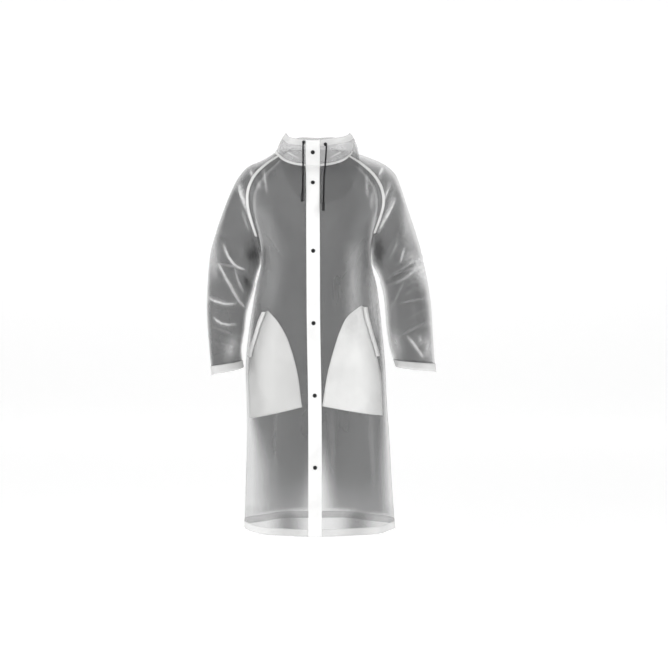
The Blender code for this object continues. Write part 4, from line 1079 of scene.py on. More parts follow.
def two_tone(nodes, links, value, dark, light):
    ramp = nodes.new("ShaderNodeValToRGB")
    for stop, place, color in zip(ramp.color_ramp.elements, TONE_STOPS, (dark, light)):
        stop.position = place
        stop.color = (*color, 1.0)
    links.new(value, ramp.inputs["Fac"])
    return ramp.outputs["Color"]


def relief(nodes, links, layers):
    """Stacks bumps. Each layer is a height value, a strength and a depth in metres."""
    below = None
    for value, strength, depth in layers:
        bump = nodes.new("ShaderNodeBump")
        feed(links, bump, {"Height": value, "Strength": strength, "Distance": depth})
        if below is not None:
            links.new(below, bump.inputs["Normal"])
        below = bump.outputs["Normal"]
    return below


def painted(nodes, links, label, full):
    """A value painted on the piece's own points, as a share of a full value."""
    values = nodes.new("ShaderNodeAttribute")
    values.attribute_name = label
    return ranged(nodes, links, values.outputs["Fac"], 0.0, full)


def blend(nodes, links, share, first, second, color=False):
    """Mixes from the first value to the second. Either may be a socket or a plain value."""
    mix = nodes.new("ShaderNodeMix")
    mix.data_type = "RGBA" if color else "FLOAT"
    factor, a, b, result = (0, 6, 7, 2) if color else (0, 2, 3, 0)  # a Mix node's names repeat
    feed(links, mix, {factor: share, a: first, b: second})
    return mix.outputs[result]

# %% Film
TALL = (1.0, 1.0, 0.5)  # stretches noise upward
VEIL_TONES = ((0.22, 0.222, 0.224), (0.33, 0.332, 0.334))
DEEP_TONES = ((0.052, 0.053, 0.054), (0.110, 0.111, 0.112))
# the white of film whitening and painted highlights, and the dark of painted shade
WHITENED_AND_HIGHLIGHT_TONE, PAINTED_SHADE_TONE = (0.93, 0.93, 0.93, 1.0), (0.02, 0.02, 0.02, 1.0)
VEIL_ALPHA, DEEP_ALPHA = (0.070, 0.105), (0.64, 0.72)
# how opaque the painted white and the painted shade make the film
WHITENED_AND_HIGHLIGHT_ALPHA, PAINTED_SHADE_ALPHA = 0.46, 0.55
FILM_CLOUDS, FILM_GRAIN, FILM_WRINKLES = (6.0, 3.0), (420.0, 1.0), (30.0, 1.5)  # scale and detail
FILM_RELIEF = ((0.10, 0.0010), (0.01, 0.0001))  # strength and depth of the wrinkles and of the grain
FILM_GLOSS = (0.30, 0.44)  # roughness of the film
FILM_IOR = 1.49


def film_finish(name):
    """See-through film: a thin pale veil, deeper where it faces back, painted white (whitening and
    highlight) and dark (shade) in creases.
    """
    made, nodes, links, shader = new_finish(name)
    place = nodes.new("ShaderNodeTexCoord").outputs["Object"]
    clouds = noise_on(nodes, links, place, *FILM_CLOUDS, TALL)
    grain = noise_on(nodes, links, place, *FILM_GRAIN)
    wrinkle = noise_on(nodes, links, place, *FILM_WRINKLES, TALL)
    rear = painted(nodes, links, "rear", 1.0)
    # the fold attribute: white above 0 is film whitening and painted highlight, below 0 it is painted shade
    white, dark = (painted(nodes, links, "fold", full) for full in (1.0, -1.0))
    veil, deep = (two_tone(nodes, links, clouds, *tones) for tones in (VEIL_TONES, DEEP_TONES))
    tone = blend(nodes, links, rear, veil, deep, True)
    tone = blend(nodes, links, white, tone, WHITENED_AND_HIGHLIGHT_TONE, True)
    thin, dense = (ranged(nodes, links, clouds, *USUAL_NOISE, *ends) for ends in (VEIL_ALPHA, DEEP_ALPHA))
    dense = blend(nodes, links, rear, thin, dense)
    dense = blend(nodes, links, white, dense, WHITENED_AND_HIGHLIGHT_ALPHA)
    layers = [(value, *size) for value, size in zip((wrinkle, grain), FILM_RELIEF)]
    feed(links, shader, {
        "Base Color": blend(nodes, links, dark, tone, PAINTED_SHADE_TONE, True),
        "Alpha": blend(nodes, links, dark, dense, PAINTED_SHADE_ALPHA),
        "Roughness": ranged(nodes, links, wrinkle, *USUAL_NOISE, *FILM_GLOSS),
        "Normal": relief(nodes, links, layers),
        "IOR": FILM_IOR,
        "Sheen Weight": 0.08,
        "Sheen Roughness": 0.35,
    })
    return made


film = film_finish("Frosted film")
print("film nodes:", len(film.node_tree.nodes))

# %% Doubled film
STRIP_CLOUDS, STRIP_GRAIN, STRIP_WRINKLES = (14.0, 4.0), (700.0, 2.0), (60.0, 4.0, (1.0, 1.0, 0.6))
STRIP_RELIEF = ((0.30, 0.0010), (0.12, 0.0003))
WELD_RELIEF = (0.25, 0.0003)
STRIP_GLOSS = (0.30, 0.46)
CLOUD_SHADE = 0.88  # how dark the darker clouds of a strip are
WELD_LINE = 0.0016  # distance between the fine lines of a weld
LINES_IN_UNIT = 20  # a wave texture of scale 1 has this many bands in one unit


def strip_finish(name, color, alpha, line_width=0.0):
    """White doubled film, with fine weld lines along it where line_width is above 0."""
    made, nodes, links, shader = new_finish(name)
    coordinates = nodes.new("ShaderNodeTexCoord")
    place = coordinates.outputs["Object"]
    clouds = noise_on(nodes, links, place, *STRIP_CLOUDS)
    grain = noise_on(nodes, links, place, *STRIP_GRAIN)
    wrinkle = noise_on(nodes, links, place, *STRIP_WRINKLES)
    layers = [(value, *size) for value, size in zip((wrinkle, grain), STRIP_RELIEF)]
    if line_width:
        lines = nodes.new("ShaderNodeTexWave")
        lines.wave_type = "BANDS"
        lines.bands_direction = "Y"
        feed(links, lines, {"Vector": coordinates.outputs["UV"], "Scale": 1 / (line_width * LINES_IN_UNIT)})
        layers.append((lines.outputs["Fac"], *WELD_RELIEF))
    feed(links, shader, {
        "Base Color": two_tone(nodes, links, clouds, tuple(c * CLOUD_SHADE for c in color), color),
        "Alpha": alpha,
        "Roughness": ranged(nodes, links, wrinkle, *USUAL_NOISE, *STRIP_GLOSS),
        "Normal": relief(nodes, links, layers),
        "IOR": FILM_IOR,
        "Sheen Weight": 0.15,
    })
    return made


doubled = strip_finish("Doubled film", (0.95, 0.95, 0.945), 1.0)
band_film = strip_finish("Welded band", (0.86, 0.86, 0.855), 0.55)
seam_film = strip_finish("Welded seam", (0.90, 0.90, 0.895), 0.60, WELD_LINE)
far_seam_film = strip_finish("Welded seam behind", (0.90, 0.90, 0.895), 0.28, WELD_LINE)
pocket_films = {
    1: strip_finish("Pocket film", (1.0, 1.0, 0.99), 1.0),
    -1: strip_finish("Pocket film in shade", (0.84, 0.84, 0.83), 0.90),
}
print("finishes so far:", [finish.name for finish in bpy.data.materials])

# %% Black fittings and cord
SNAP_SCUFFS, CORD_FIBRES = (900.0, 4.0), (1500.0, 3.0)  # scale and detail
SNAP_TONES = ((0.010, 0.010, 0.011), (0.022, 0.022, 0.023))
CORD_TONES = ((0.004, 0.004, 0.005), (0.014, 0.014, 0.015))
CORD_SPAN, CORD_TURN = 0.16, 0.0034  # length that the braid's pattern spans, and of one turn of it
BRAID_STRETCH = CORD_SPAN / CORD_TURN / 10

snap_finish, nodes, links, shader = new_finish("Black snap")
scuffs = noise_on(nodes, links, nodes.new("ShaderNodeTexCoord").outputs["Object"], *SNAP_SCUFFS)
feed(links, shader, {
    "Base Color": two_tone(nodes, links, scuffs, *SNAP_TONES),
    "Roughness": ranged(nodes, links, scuffs, *USUAL_NOISE, 0.26, 0.42),
    "Normal": relief(nodes, links, [(scuffs, 0.1, 0.0002)]),
    "Metallic": 0.6,
})

cord_finish, nodes, links, shader = new_finish("Black braided cord")
coordinates = nodes.new("ShaderNodeTexCoord").outputs
fibres = noise_on(nodes, links, coordinates["Object"], *CORD_FIBRES)
stretch, braid = nodes.new("ShaderNodeMapping"), nodes.new("ShaderNodeTexWave")
braid.bands_direction = "DIAGONAL"
feed(links, stretch, {"Vector": coordinates["UV"], "Scale": (BRAID_STRETCH, 1.0, 1.0)})
feed(links, braid, {"Vector": stretch.outputs["Vector"], "Scale": 9.0, "Distortion": 1.5})
strands = braid.outputs["Fac"]
feed(links, shader, {
    "Base Color": two_tone(nodes, links, strands, *CORD_TONES),
    "Roughness": 0.85,
    "Normal": relief(nodes, links, [(strands, 0.6, 0.0006), (fibres, 0.3, 0.0002)]),
    "Specular IOR Level": 0.2,
    "Sheen Weight": 0.04,
})
print("finishes:", len(bpy.data.materials))

# %% [markdown]
# ## From a grid to a piece of film
# A grid becomes a mesh of quads, and the Solidify modifier gives it its wall. The wall is applied
# at once, so the finished piece is a plain closed mesh. Each piece also gets a UV map measured in
# metres along the film, so that a pattern such as a weld line keeps its real size on it.

# %% Make a wall of film
SAME_PLACE = 0.00001  # points of a mesh closer than this are one point


def film_sheet(name, points, finish, thickness=WALL, lift=0.0, flip=False, replaces=None, marks=()):
    """A wall of film on a grid of points. Its outer face lies `lift` outside the points."""
    rows, columns = points.shape[:2]
    mesh = bpy.data.meshes.new(name)
    corners = []
    for r in range(rows - 1):
        for c in range(columns - 1):
            here = r * columns + c
            ring = [here, here + 1, here + columns + 1, here + columns]
            corners.append([ring[0], *ring[:0:-1]] if flip else ring)
    mesh.from_pydata([tuple(p) for p in points.reshape(-1, 3)], [], corners)
    for label, values in dict(marks).items():
        layer = mesh.attributes.new(label, "FLOAT", "POINT")
        layer.data.foreach_set("value", np.ascontiguousarray(values, np.float32).ravel())
    across = np.cumsum([0.0, *np.linalg.norm(np.diff(points, axis=1), axis=2).mean(axis=0)])
    upward = np.cumsum([0.0, *np.linalg.norm(np.diff(points, axis=0), axis=2).mean(axis=1)])
    flat = mesh.uv_layers.new(name="Film")
    for loop in mesh.loops:
        r, c = divmod(loop.vertex_index, columns)
        flat.data[loop.index].uv = (across[c], upward[r])
    shell = bmesh.new()
    shell.from_mesh(mesh)
    bmesh.ops.remove_doubles(shell, verts=shell.verts, dist=SAME_PLACE)
    shell.to_mesh(mesh)
    shell.free()
    mesh.materials.append(finish)
    mesh.shade_smooth()
    obj = bpy.data.objects.new(name, mesh)
    bpy.context.scene.collection.objects.link(obj)
    wall = obj.modifiers.new("Film thickness", "SOLIDIFY")
    wall.thickness = thickness
    wall.offset = 2 * lift / thickness - 1
    with bpy.context.temp_override(object=obj, active_object=obj, selected_objects=[obj]):
        bpy.ops.object.modifier_apply(modifier=wall.name)
    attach(obj, BODY)
    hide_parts(replaces or name)


def flat_size(points):
    """Width and length of the film that a grid stands for, measured along it."""
    across = np.linalg.norm(np.diff(points, axis=1), axis=2).sum(axis=1)
    upward = np.linalg.norm(np.diff(points, axis=0), axis=2).sum(axis=0)
    return float(across.max()), float(upward.max())


def walk(lines, distance):
    """For each row, the point at a distance along it from its first column."""
    steps = np.linalg.norm(np.diff(lines, axis=1), axis=2)
    travel = np.concatenate([np.zeros((len(lines), 1)), np.cumsum(steps, axis=1)], axis=1)
    return np.array(
        [[np.interp(distance, t, row[:, k]) for k in range(3)] for t, row in zip(travel, lines)]
    )


print("width and length of a front:", [round(x, 3) for x in flat_size(panels["front", 1])])

# %% [markdown]
# ## Where the film deepens
# Seen from in front, the middle of the coat is grey and its edges are pale. The far wall of the
# coat carries that tone: its film is deepest in the middle of the back and on the backs of the
# sleeves, and it pales towards the sides and the hem, where it parts into two. The fronts only
# deepen a little at the waist's sides and in two soft patches above the hem.

# %% How deep each point's film is
ARM_TURN = {1: (0.15, 0.85), -1: (-0.05, 0.65)}  # how far back a sleeve faces where it deepens
ARM_LEAST = 0.06
CHEST_TURN = (0.05, 0.45)  # the same for the back, at the chest and at the hem
HEM_TURN = {1: (0.18, 0.60), -1: (0.38, 0.92)}
HEM_TURN_HEIGHTS = (-0.70, -1.02)
PARTING, PARTING_WIDTH, PARTING_SPREAD = 0.01, 0.012, 0.11  # middle, width, and widening per metre
PARTING_HEIGHTS = (-0.82, -1.08)
LAST_FALL, LAST_FALL_HEIGHTS = 0.2, (-1.00, -1.15)
BAND_HEIGHTS = (-1.142, -1.120)  # the back's film is clear behind the hem band
SIDE_TINT, SIDE_SHARES = 0.14, (0.55, 0.90)  # the fronts' tint at their sides
WAIST_TINT, WAIST_HEIGHTS = 0.35, (-0.60, -0.35)
HEM_VEIL, HEM_TINT, HEM_TINT_HEIGHTS = 0.12, 0.66, (-1.066, -1.100)
HEM_CORE, CORE_WIDTH = {1: 0.125, -1: 0.085}, 0.045  # where the fronts are deepest at the hem
HOOD_MILK = 0.62
HOOD_CLEAR = (-0.070, -0.020)  # below these heights the hood lies behind the back and stays clear


def back_depth(across, height):
    """Deepest in the back's middle, from an even roundness, so that flutes leave no stripes."""
    reach = np.where(across > 0, across.max(axis=1, keepdims=True), -across.min(axis=1, keepdims=True))
    facing = np.sqrt(np.clip(1 - (across / reach) ** 2, 0, 1))
    fall = smoothstep(*HEM_TURN_HEIGHTS, height)
    hem = [np.where(across > 0, HEM_TURN[1][i], HEM_TURN[-1][i]) for i in (0, 1)]
    low, high = (a + (b - a) * fall for a, b in zip(CHEST_TURN, hem))
    width = PARTING_WIDTH + PARTING_SPREAD * np.clip(PARTING_HEIGHTS[0] - height, 0, 1)
    parting = np.exp(-(((across - PARTING) / width) ** 2)) * smoothstep(*PARTING_HEIGHTS, height)
    deep = smoothstep(low, high, facing) * (1 - parting)
    deep = deep * (1 - LAST_FALL * smoothstep(*LAST_FALL_HEIGHTS, height))
    return deep * smoothstep(*BAND_HEIGHTS, height)


def front_depth(across, height, side):
    """A little at the side and at the waist, and a soft patch above the hem."""
    share = np.clip(across * side / (across * side).max(axis=1, keepdims=True), 0, 1)
    deep = smoothstep(*SIDE_SHARES, share) * (SIDE_TINT + WAIST_TINT * smoothstep(*WAIST_HEIGHTS, height))
    core = np.exp(-(((across * side - HEM_CORE[side]) / CORE_WIDTH) ** 2))
    return np.clip(deep + (HEM_VEIL + HEM_TINT * core) * smoothstep(*HEM_TINT_HEIGHTS, height), 0.0, 1.0)


def film_marks(key):
    """What is painted on a panel's points: how deep its film is, and its white (whitening and painted
    highlight) and painted shade.
    """
    kind, side = (key, 1) if isinstance(key, str) else key
    grid, fold = panels[key], painted_whites_and_shade[key]
    across, height = grid[:, :, 0], grid[:, :, 2]
    if kind == "hood":
        rear = np.zeros(height.shape)
        fold = fold + HOOD_MILK * smoothstep(*HOOD_CLEAR, height)
    elif kind == "back":
        rear = back_depth(across, height)
    elif kind == "front":
        rear = front_depth(across, height, side)
    else:
        facing = grid_normals(grid)[:, :, 1] * side
        rear = np.maximum(ARM_LEAST, smoothstep(*ARM_TURN[side], facing))
    # fold: white above 0 is film whitening and painted highlight, below 0 painted shade
    return {"rear": rear, "fold": np.clip(fold, -1.0, 1.0)}


print("deepest film of the back:", round(float(film_marks("back")["rear"].max()), 2))

# %% [markdown]
# ## Fronts, back, sleeves and hood
# The panels meet at welded seams, so each one is drawn back from its seams by a hair and they
# never touch.

# %% The panels
INSIDE = -SEAM / 2  # where a panel's outer face lies, seen from its grid
DRAW_BACK = SEAM * 0.7  # a little over half a gap
arm_rows = UPPER_STEPS * UPPER_CUTS


def pull_in(grid, *edges):
    """Draws edges of a grid back from their seams."""
    for edge in edges:
        lines = from_edge(grid, edge)
        lines[0] = toward(lines[0], lines[1], DRAW_BACK)


def panel_sheet(name, key, flip=False):
    marks = film_marks(key)
    film_sheet(f"fine_{name}", panels[key], film, lift=INSIDE, flip=flip, replaces=name, marks=marks)


for _, side in HALVES:
    pull_in(panels["front", side], "last column", "last row")
    sleeve = panels["sleeve", side]
    pull_in(sleeve[-arm_rows:], *SIDE_EDGES)
    pull_in(sleeve, "last row")
    sleeve[-arm_rows - 1, [0, -1], 2] -= 2 * SEAM
pull_in(panels["back"], *SIDE_EDGES, "last row")
pull_in(panels["hood"], "first row")
panel_sheet("back", "back")
panel_sheet("hood", "hood")
for name, side in HALVES:
    panel_sheet(f"front_{name}", ("front", side), side < 0)
    panel_sheet(f"sleeve_{name}", ("sleeve", side), side < 0)

# %% [markdown]
# ## Welded strips
# Where two or three layers of film are welded together the strip turns white. The placket covers
# the front opening, bands finish the hem, the cuffs and the hood's rim, and narrow tapes run over
# every seam. Each strip is made from the points of the panel that it lies on, moved out by its own
# thickness, so it follows every crease. A tape over a seam in a fold bridges the fold.

# %% Placket
CROWN = 0.0004  # how far the placket's middle stands out
PLACKET_WAVE = 0.0007  # height of its slow waves
PLACKET_WAVES = 22  # how many of them lie in a metre
PLACKET_CUTS = (3, 4, 4, 3)
NEAR = 6  # columns that a strip may reach over
FIRST, LAST = slice(None, NEAR), slice(None, -NEAR - 1, -1)  # columns near an edge, counted from it


def placket_points():
    rows = []
    for a, b in zip(panels["front", 1], panels["front", -1]):
        rows.append([b[EDGE_CUTS], b[0], (a[0] + b[0]) / 2, a[0], a[EDGE_CUTS]])
    hood = panels["hood"][1:]
    outer_left, outer_right = (walk(hood[:, near], PLACKET_EDGE - PANEL_EDGE) for near in (FIRST, LAST))
    for line, a, b in zip(hood, outer_left, outer_right):
        rows.append([b, line[-1], (line[0] + line[-1]) / 2, line[0], a])
    grid = np.array(rows)
    grid[:, 2, 1] -= CROWN
    return finer(grid, [1] * (len(grid) - 1), PLACKET_CUTS)


strip = placket_points()
wave = [noise.noise(Vector((0.0, 3.7, z * PLACKET_WAVES))) for z in strip[:, 0, 2]]
raised = strip.copy()
raised[:, :, 1] -= PLACKET_WAVE * np.clip(np.array(wave), 0.0, 1.0)[:, None]
film_sheet("fine_placket_top", raised, doubled, STRIP, STRIP + SEAM, replaces="placket_top")
film_sheet("fine_placket_under", strip, doubled, STRIP, -(WALL + 1.5 * SEAM), replaces="placket_under")
print("placket rows:", len(strip))

# %% Bands of the hem, the cuffs and the hood's rim
OVER = STRIP + SEAM
TO_SIDE, FROM_SIDE = slice(EDGE_CUTS, -1), slice(-2, EDGE_CUTS - 1, -1)  # from the placket, or to it
left, back, right, hood = (panels[key] for key in (("front", 1), "back", ("front", -1), "hood"))


def trim_ends(grid):
    """Draws the first and the last column of a strip in, so that they clear their neighbours."""
    for end, beside in ((0, 1), (-1, -2)):
        grid[:, end] = toward(grid[:, end], grid[:, beside], 2 * SEAM)


band = slice(None, BAND_CUTS + 1)
hem = np.concatenate([left[band, TO_SIDE], back[band], right[band, FROM_SIDE]], axis=1)
trim_ends(hem)
film_sheet("fine_hem_band", hem, band_film, STRIP, OVER, replaces="hem_band")
for name, side in HALVES:
    cuff = panels["sleeve", side][band]
    film_sheet(f"fine_cuff_{name}", cuff, band_film, STRIP, OVER, side < 0, f"cuff_band_{name}")
rim = hood[-HOOD_CUTS - 1 :]
ends = [walk(rim[:, near], PLACKET_EDGE - PANEL_EDGE + 2 * SEAM)[:, None] for near in (FIRST, LAST)]
rim = np.concatenate([ends[0], rim[:, 2:-2], ends[1]], axis=1)
film_sheet("fine_channel", rim, band_film, STRIP, OVER, replaces="hood_channel")

# %% Tapes over the seams
BRIDGE = 0.75  # how much of a fold's depth a tape bridges


def tape(name, one, middle, other, flip=False):
    """A narrow tape along a seam. Where the seam lies in a fold, the tape bridges the fold."""
    upward = np.gradient(middle, axis=0)
    outward = np.cross(other - one, upward) * (-1 if flip else 1)
    outward /= np.linalg.norm(outward, axis=1, keepdims=True)
    depth = np.sum(((one + other) / 2 - middle) * outward, axis=1, keepdims=True)
    middle = middle + outward * np.maximum(depth, 0.0) * BRIDGE
    grid = np.stack([one, (one + middle) / 2, middle, (middle + other) / 2, other], axis=1)
    finish = far_seam_film if name.startswith("raglan_tape_back") else seam_film
    film_sheet(f"fine_{name}", grid, finish, TAPE, TAPE + 2 * SEAM, flip, name)


def between(a, b):
    """The two edges and the middle of a tape over the seam between two panels."""
    return walk(a, TAPE_HALF_WIDTH), (a[:, 0] + b[:, 0]) / 2, walk(b, TAPE_HALF_WIDTH)


first_yoke = BAND_CUTS + LOWER_STEPS * LOWER_CUTS
for name, side in HALVES:
    front, sleeve = panels["front", side], panels["sleeve", side]
    behind = back if side > 0 else back[:, ::-1]
    yoke = slice(first_yoke + 2 * UPPER_CUTS, None)
    arm = slice(len(sleeve) - arm_rows - 1 + 2 * UPPER_CUTS, None)
    seams = (
        ("front", front[yoke, LAST], sleeve[arm, FIRST], False),
        ("back", sleeve[arm, LAST], behind[yoke, FIRST], False),
    )
    for place, a, b, turned in seams:
        lines = (line[:-1] for line in between(a, b))
        tape(f"raglan_tape_{place}_{name}", *lines, (side < 0) != turned)
    rows = slice(BAND_CUTS + 1, first_yoke - LOWER_CUTS // 2)
    tape(f"side_tape_{name}", *between(front[rows, LAST], behind[rows, FIRST]), side < 0)
    rows = slice(BAND_CUTS + 1, len(sleeve) - arm_rows - 2 * ARM_CUTS)
    one, _, other = between(sleeve[rows, LAST], sleeve[rows, FIRST])
    tape(f"sleeve_tape_{name}", one, sleeve[rows, -1].copy(), other, side < 0)

# %% The neck seam's tape
NECK_REACH = TAPE_HALF_WIDTH - 0.001
ring = [
    left[-NEAR:, TO_SIDE],
    panels["sleeve", 1][-NEAR:, :-1],
    back[-NEAR:, :-1],
    panels["sleeve", -1][-NEAR:, ::-1],
    right[-NEAR:, FROM_SIDE],
]
around = np.concatenate(ring, axis=1)[::-1]  # from the seam downward
seam = around[0]
own = np.cumsum([0.0, *np.linalg.norm(np.diff(seam, axis=0), axis=1)])
own = np.linalg.norm(seam[0] - hood[0, 0]) + own
travel = np.cumsum([0.0, *np.linalg.norm(np.diff(hood[0], axis=0), axis=1)])
risers = np.array([[np.interp(own, travel, line[:, k]) for k in range(3)] for line in hood[:NEAR]])
risers = risers.transpose(2, 0, 1)  # one row for each place on the seam, from the seam upward
below, above = walk(columns_first(around), NECK_REACH), walk(risers, NECK_REACH)
middle = (seam + risers[:, 0]) / 2
neck = np.stack([below, (below + middle) / 2, middle, (middle + above) / 2, above])
trim_ends(neck)
film_sheet("fine_neck_tape", neck, seam_film, TAPE, TAPE + 3 * SEAM, replaces="neck_tape")

# %% [markdown]
# ## Pockets
# Each pocket is a flat bag of doubled film that hangs behind its front and shows through it, with
# a narrow welt along its slanting mouth. To lie on the creased front, each of its points is thrown
# straight at the front's fine surface, and the bag is then moved in, and the welt out.

# %% Measurements of the pockets
# The pocket bags, seen through the front: their edges from top to bottom.
POCKET_BAGS = {
    # share, inner across, inner height, outer across, outer height
    1: (
        (0.00, 0.1390, -0.463, 0.1500, -0.468),
        (0.12, 0.0990, -0.493, 0.1545, -0.500),
        (0.27, 0.0753, -0.535, 0.1675, -0.545),
        (0.45, 0.0555, -0.592, 0.1850, -0.603),
        (0.62, 0.0392, -0.648, 0.1985, -0.662),
        (1.00, 0.0192, -0.765, 0.2090, -0.803),
    ),
    -1: (
        (0.00, 0.1490, -0.478, 0.1590, -0.483),
        (0.12, 0.1220, -0.506, 0.1700, -0.512),
        (0.27, 0.0960, -0.545, 0.1840, -0.553),
        (0.45, 0.0750, -0.598, 0.2010, -0.608),
        (0.62, 0.0600, -0.652, 0.2095, -0.664),
        (1.00, 0.0430, -0.768, 0.2080, -0.812),
    ),
}
WELT_HALF_WIDTH = 0.006
WELT_END = 0.50  # how far down the outer edge of the bag its mouth runs
print("pocket width at the bottom:", [round(r[-1][3] - r[-1][1], 3) for r in POCKET_BAGS.values()])

# %% Pocket bags and welts
FINE_ROWS, FINE_STEPS = 44, 30
THROW = 0.05  # how far in front of a point its throw begins


def front_surface(side, x, height):
    """The point of a plain front below the underarm at a distance across and a height."""
    width = along(BODY_RINGS, height)[0 if side > 0 else 1]
    middle_x = along(OPENING_MIDDLE, height)[0]
    share = math.asin(min((side * x - middle_x * side) / (width - middle_x * side), 1.0))
    return ring_point(side, height, share / (math.pi / 2))


def on_front(side, grid):
    """Throws a grid of points onto the creased front."""
    front = panels["front", side]
    rows, columns = front.shape[:2]
    quads = [
        (r * columns + c, r * columns + c + 1, (r + 1) * columns + c + 1, (r + 1) * columns + c)
        for r in range(rows - 1)
        for c in range(columns - 1)
    ]
    surface = BVHTree.FromPolygons([tuple(p) for p in front.reshape(-1, 3)], quads)
    normals = grid_normals(grid) * side
    landed = grid.copy()
    for place in np.ndindex(grid.shape[:2]):
        out = Vector(normals[place])
        hit = surface.ray_cast(Vector(grid[place]) + out * THROW, -out)[0]
        if hit is not None:
            landed[place] = hit
    return landed


def pocket_points(side):
    """The points of a pocket's bag and of its welt, on the creased front."""
    bag, mouth = [], []
    for i in range(FINE_ROWS + 1):
        in_x, in_z, out_x, out_z = along(POCKET_BAGS[side], i / FINE_ROWS)
        shares = np.linspace(0.0, 1.0, FINE_STEPS + 1)
        places = [(in_x + (out_x - in_x) * s, in_z + (out_z - in_z) * s) for s in shares]
        bag.append([front_surface(side, side * x, z) for x, z in places])
        _, _, out_x, out_z = along(POCKET_BAGS[side], WELT_END * i / FINE_ROWS)
        places = [(out_x - WELT_HALF_WIDTH + WELT_HALF_WIDTH * j, out_z) for j in range(3)]
        mouth.append([front_surface(side, side * x, z) for x, z in places])
    return on_front(side, np.array(bag)[::-1]), on_front(side, np.array(mouth)[::-1])


for name, side in HALVES:
    bag, welt = pocket_points(side)
    layers = (
        ("pocket", "bag", bag, pocket_films[side], -(WALL + 5 * SEAM)),
        ("welt", "welt", welt, seam_film, STRIP + 2 * SEAM),
    )
    for piece, node, grid, finish, lift in layers:
        film_sheet(f"fine_{piece}_{name}", grid, finish, STRIP, lift, side < 0, f"pocket_{node}_{name}")

# %% [markdown]
# ## Drawcords
# Two black round cords leave eyelets in the hood's channel and hang on the chest. A cord is a
# curve with a bevel, so that it keeps its real length and thickness. They are limp, so they follow
# the chest all the way down and only bend sharply over the channel's edge.

# %% Measurements of the cords
CORD_DIAMETER = 0.005
CORD_STEP = 0.0066  # length of a straight piece of a cord's wall

# Routes of the two drawcords, from the eyelet in the hood's channel to the tip.
DRAWCORD_ROUTES = {
    "left": (
        (0.0288, -0.0962, 0.0270),
        (0.0303, -0.1010, 0.0268),
        (0.0312, -0.1059, 0.0245),
        (0.0314, -0.1085, 0.0195),
        (0.0312, -0.1092, 0.0100),
        (0.0300, -0.1092, -0.0100),
        (0.0285, -0.1090, -0.0300),
        (0.0268, -0.1105, -0.0500),
        (0.0252, -0.1199, -0.0660),
        (0.0243, -0.1310, -0.0850),
        (0.0238, -0.1410, -0.1050),
        (0.0234, -0.1478, -0.1250),
        (0.0230, -0.1540, -0.1425),
        (0.0228, -0.1560, -0.1500),
    ),
    "right": (
        (-0.0370, -0.0980, 0.0330),
        (-0.0379, -0.1030, 0.0328),
        (-0.0385, -0.1079, 0.0303),
        (-0.0388, -0.1105, 0.0250),
        (-0.0389, -0.1112, 0.0150),
        (-0.0389, -0.1107, -0.0100),
        (-0.0390, -0.1102, -0.0300),
        (-0.0391, -0.1115, -0.0500),
        (-0.0392, -0.1204, -0.0660),
        (-0.0394, -0.1312, -0.0850),
        (-0.0397, -0.1414, -0.1030),
        (-0.0402, -0.1470, -0.1150),
        (-0.0405, -0.1489, -0.1220),
    ),
}
print("points of the routes:", [len(route) for route in DRAWCORD_ROUTES.values()])

# %% The cords
def smooth_route(points, spacing):
    """Points at an even spacing on a smooth curve through a route."""
    route = np.array(points)
    keys = np.cumsum([0.0, *np.linalg.norm(np.diff(route, axis=0), axis=1)])
    table = [(key, *point) for key, point in zip(keys, route)]
    count = int(round(keys[-1] / spacing)) + 1
    return [Vector(along(table, key)) for key in np.linspace(0, keys[-1], count)]


CORD_ROUNDNESS = 5  # steps in a quarter of a cord's round section
cord_ends = {}
for name, points in DRAWCORD_ROUTES.items():
    route = smooth_route(points, CORD_STEP)
    curve = bpy.data.curves.new(f"cord_{name}", "CURVE")
    curve.dimensions = "3D"
    curve.bevel_depth = CORD_DIAMETER / 2
    curve.bevel_resolution = CORD_ROUNDNESS
    curve.use_fill_caps = True
    spline = curve.splines.new("POLY")
    spline.points.add(len(route) - 1)
    for knot, point in zip(spline.points, route):
        knot.co = (*point, 1.0)
    curve.materials.append(cord_finish)
    cord = bpy.data.objects.new(f"cord_{name}", curve)
    bpy.context.scene.collection.objects.link(cord)
    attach(cord, BODY)
    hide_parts(f"drawcord_{name}")
    length = sum((b - a).length for a, b in zip(route, route[1:]))
    start = (Vector(points[1]) - Vector(points[0])).normalized()
    down = (route[-1] - route[-2]).normalized()
    cord_ends[name] = (cord, route[0], start, route[-1], down, length)
    print("cord", name, round(length, 4), "m")

# %% [markdown]
# ## Fittings
# Snaps, eyelets and cord tips are small hard pieces. Each is modelled once at the origin, lying
# flat, from a primitive that is shaped in edit mode, and then copied to its places. Each copy has
# its own mesh, turned and moved into place in the mesh itself, so that every object stays at the
# origin.

# %% Sizes of the fittings
SNAP_HEIGHTS = (0.0025, -0.091, -0.2965, -0.5143, -0.7326, -0.950)
SNAP_RADIUS = 0.0062
TIP_RADIUS = 0.0044
TIP_LENGTH = 0.026
print("snaps:", len(SNAP_HEIGHTS))

# %% Helpers for modelling by hand
UPRIGHT = 0.9  # a face whose normal rises at least this much faces up
FACE_MIDDLE = 0.0005  # a face whose middle is this close to the axis is a lid


def select_none():
    if bpy.context.mode != "OBJECT":
        bpy.ops.object.mode_set(mode="OBJECT")
    bpy.ops.object.select_all(action="DESELECT")


def pick_faces(obj, wanted):
    """In edit mode, selects only the faces that a test on centre and normal picks."""
    bpy.ops.mesh.select_all(action="DESELECT")
    mesh = bmesh.from_edit_mesh(obj.data)
    for face in mesh.faces:
        if wanted(face.calc_center_median(), face.normal):
            face.select_set(True)
    bmesh.update_edit_mesh(obj.data)


def step_in(width, rise=0.0):
    """Insets the picked faces and moves what is left of them up or down."""
    bpy.ops.mesh.inset(thickness=width)
    if rise:
        bpy.ops.transform.translate(value=(0.0, 0.0, rise))


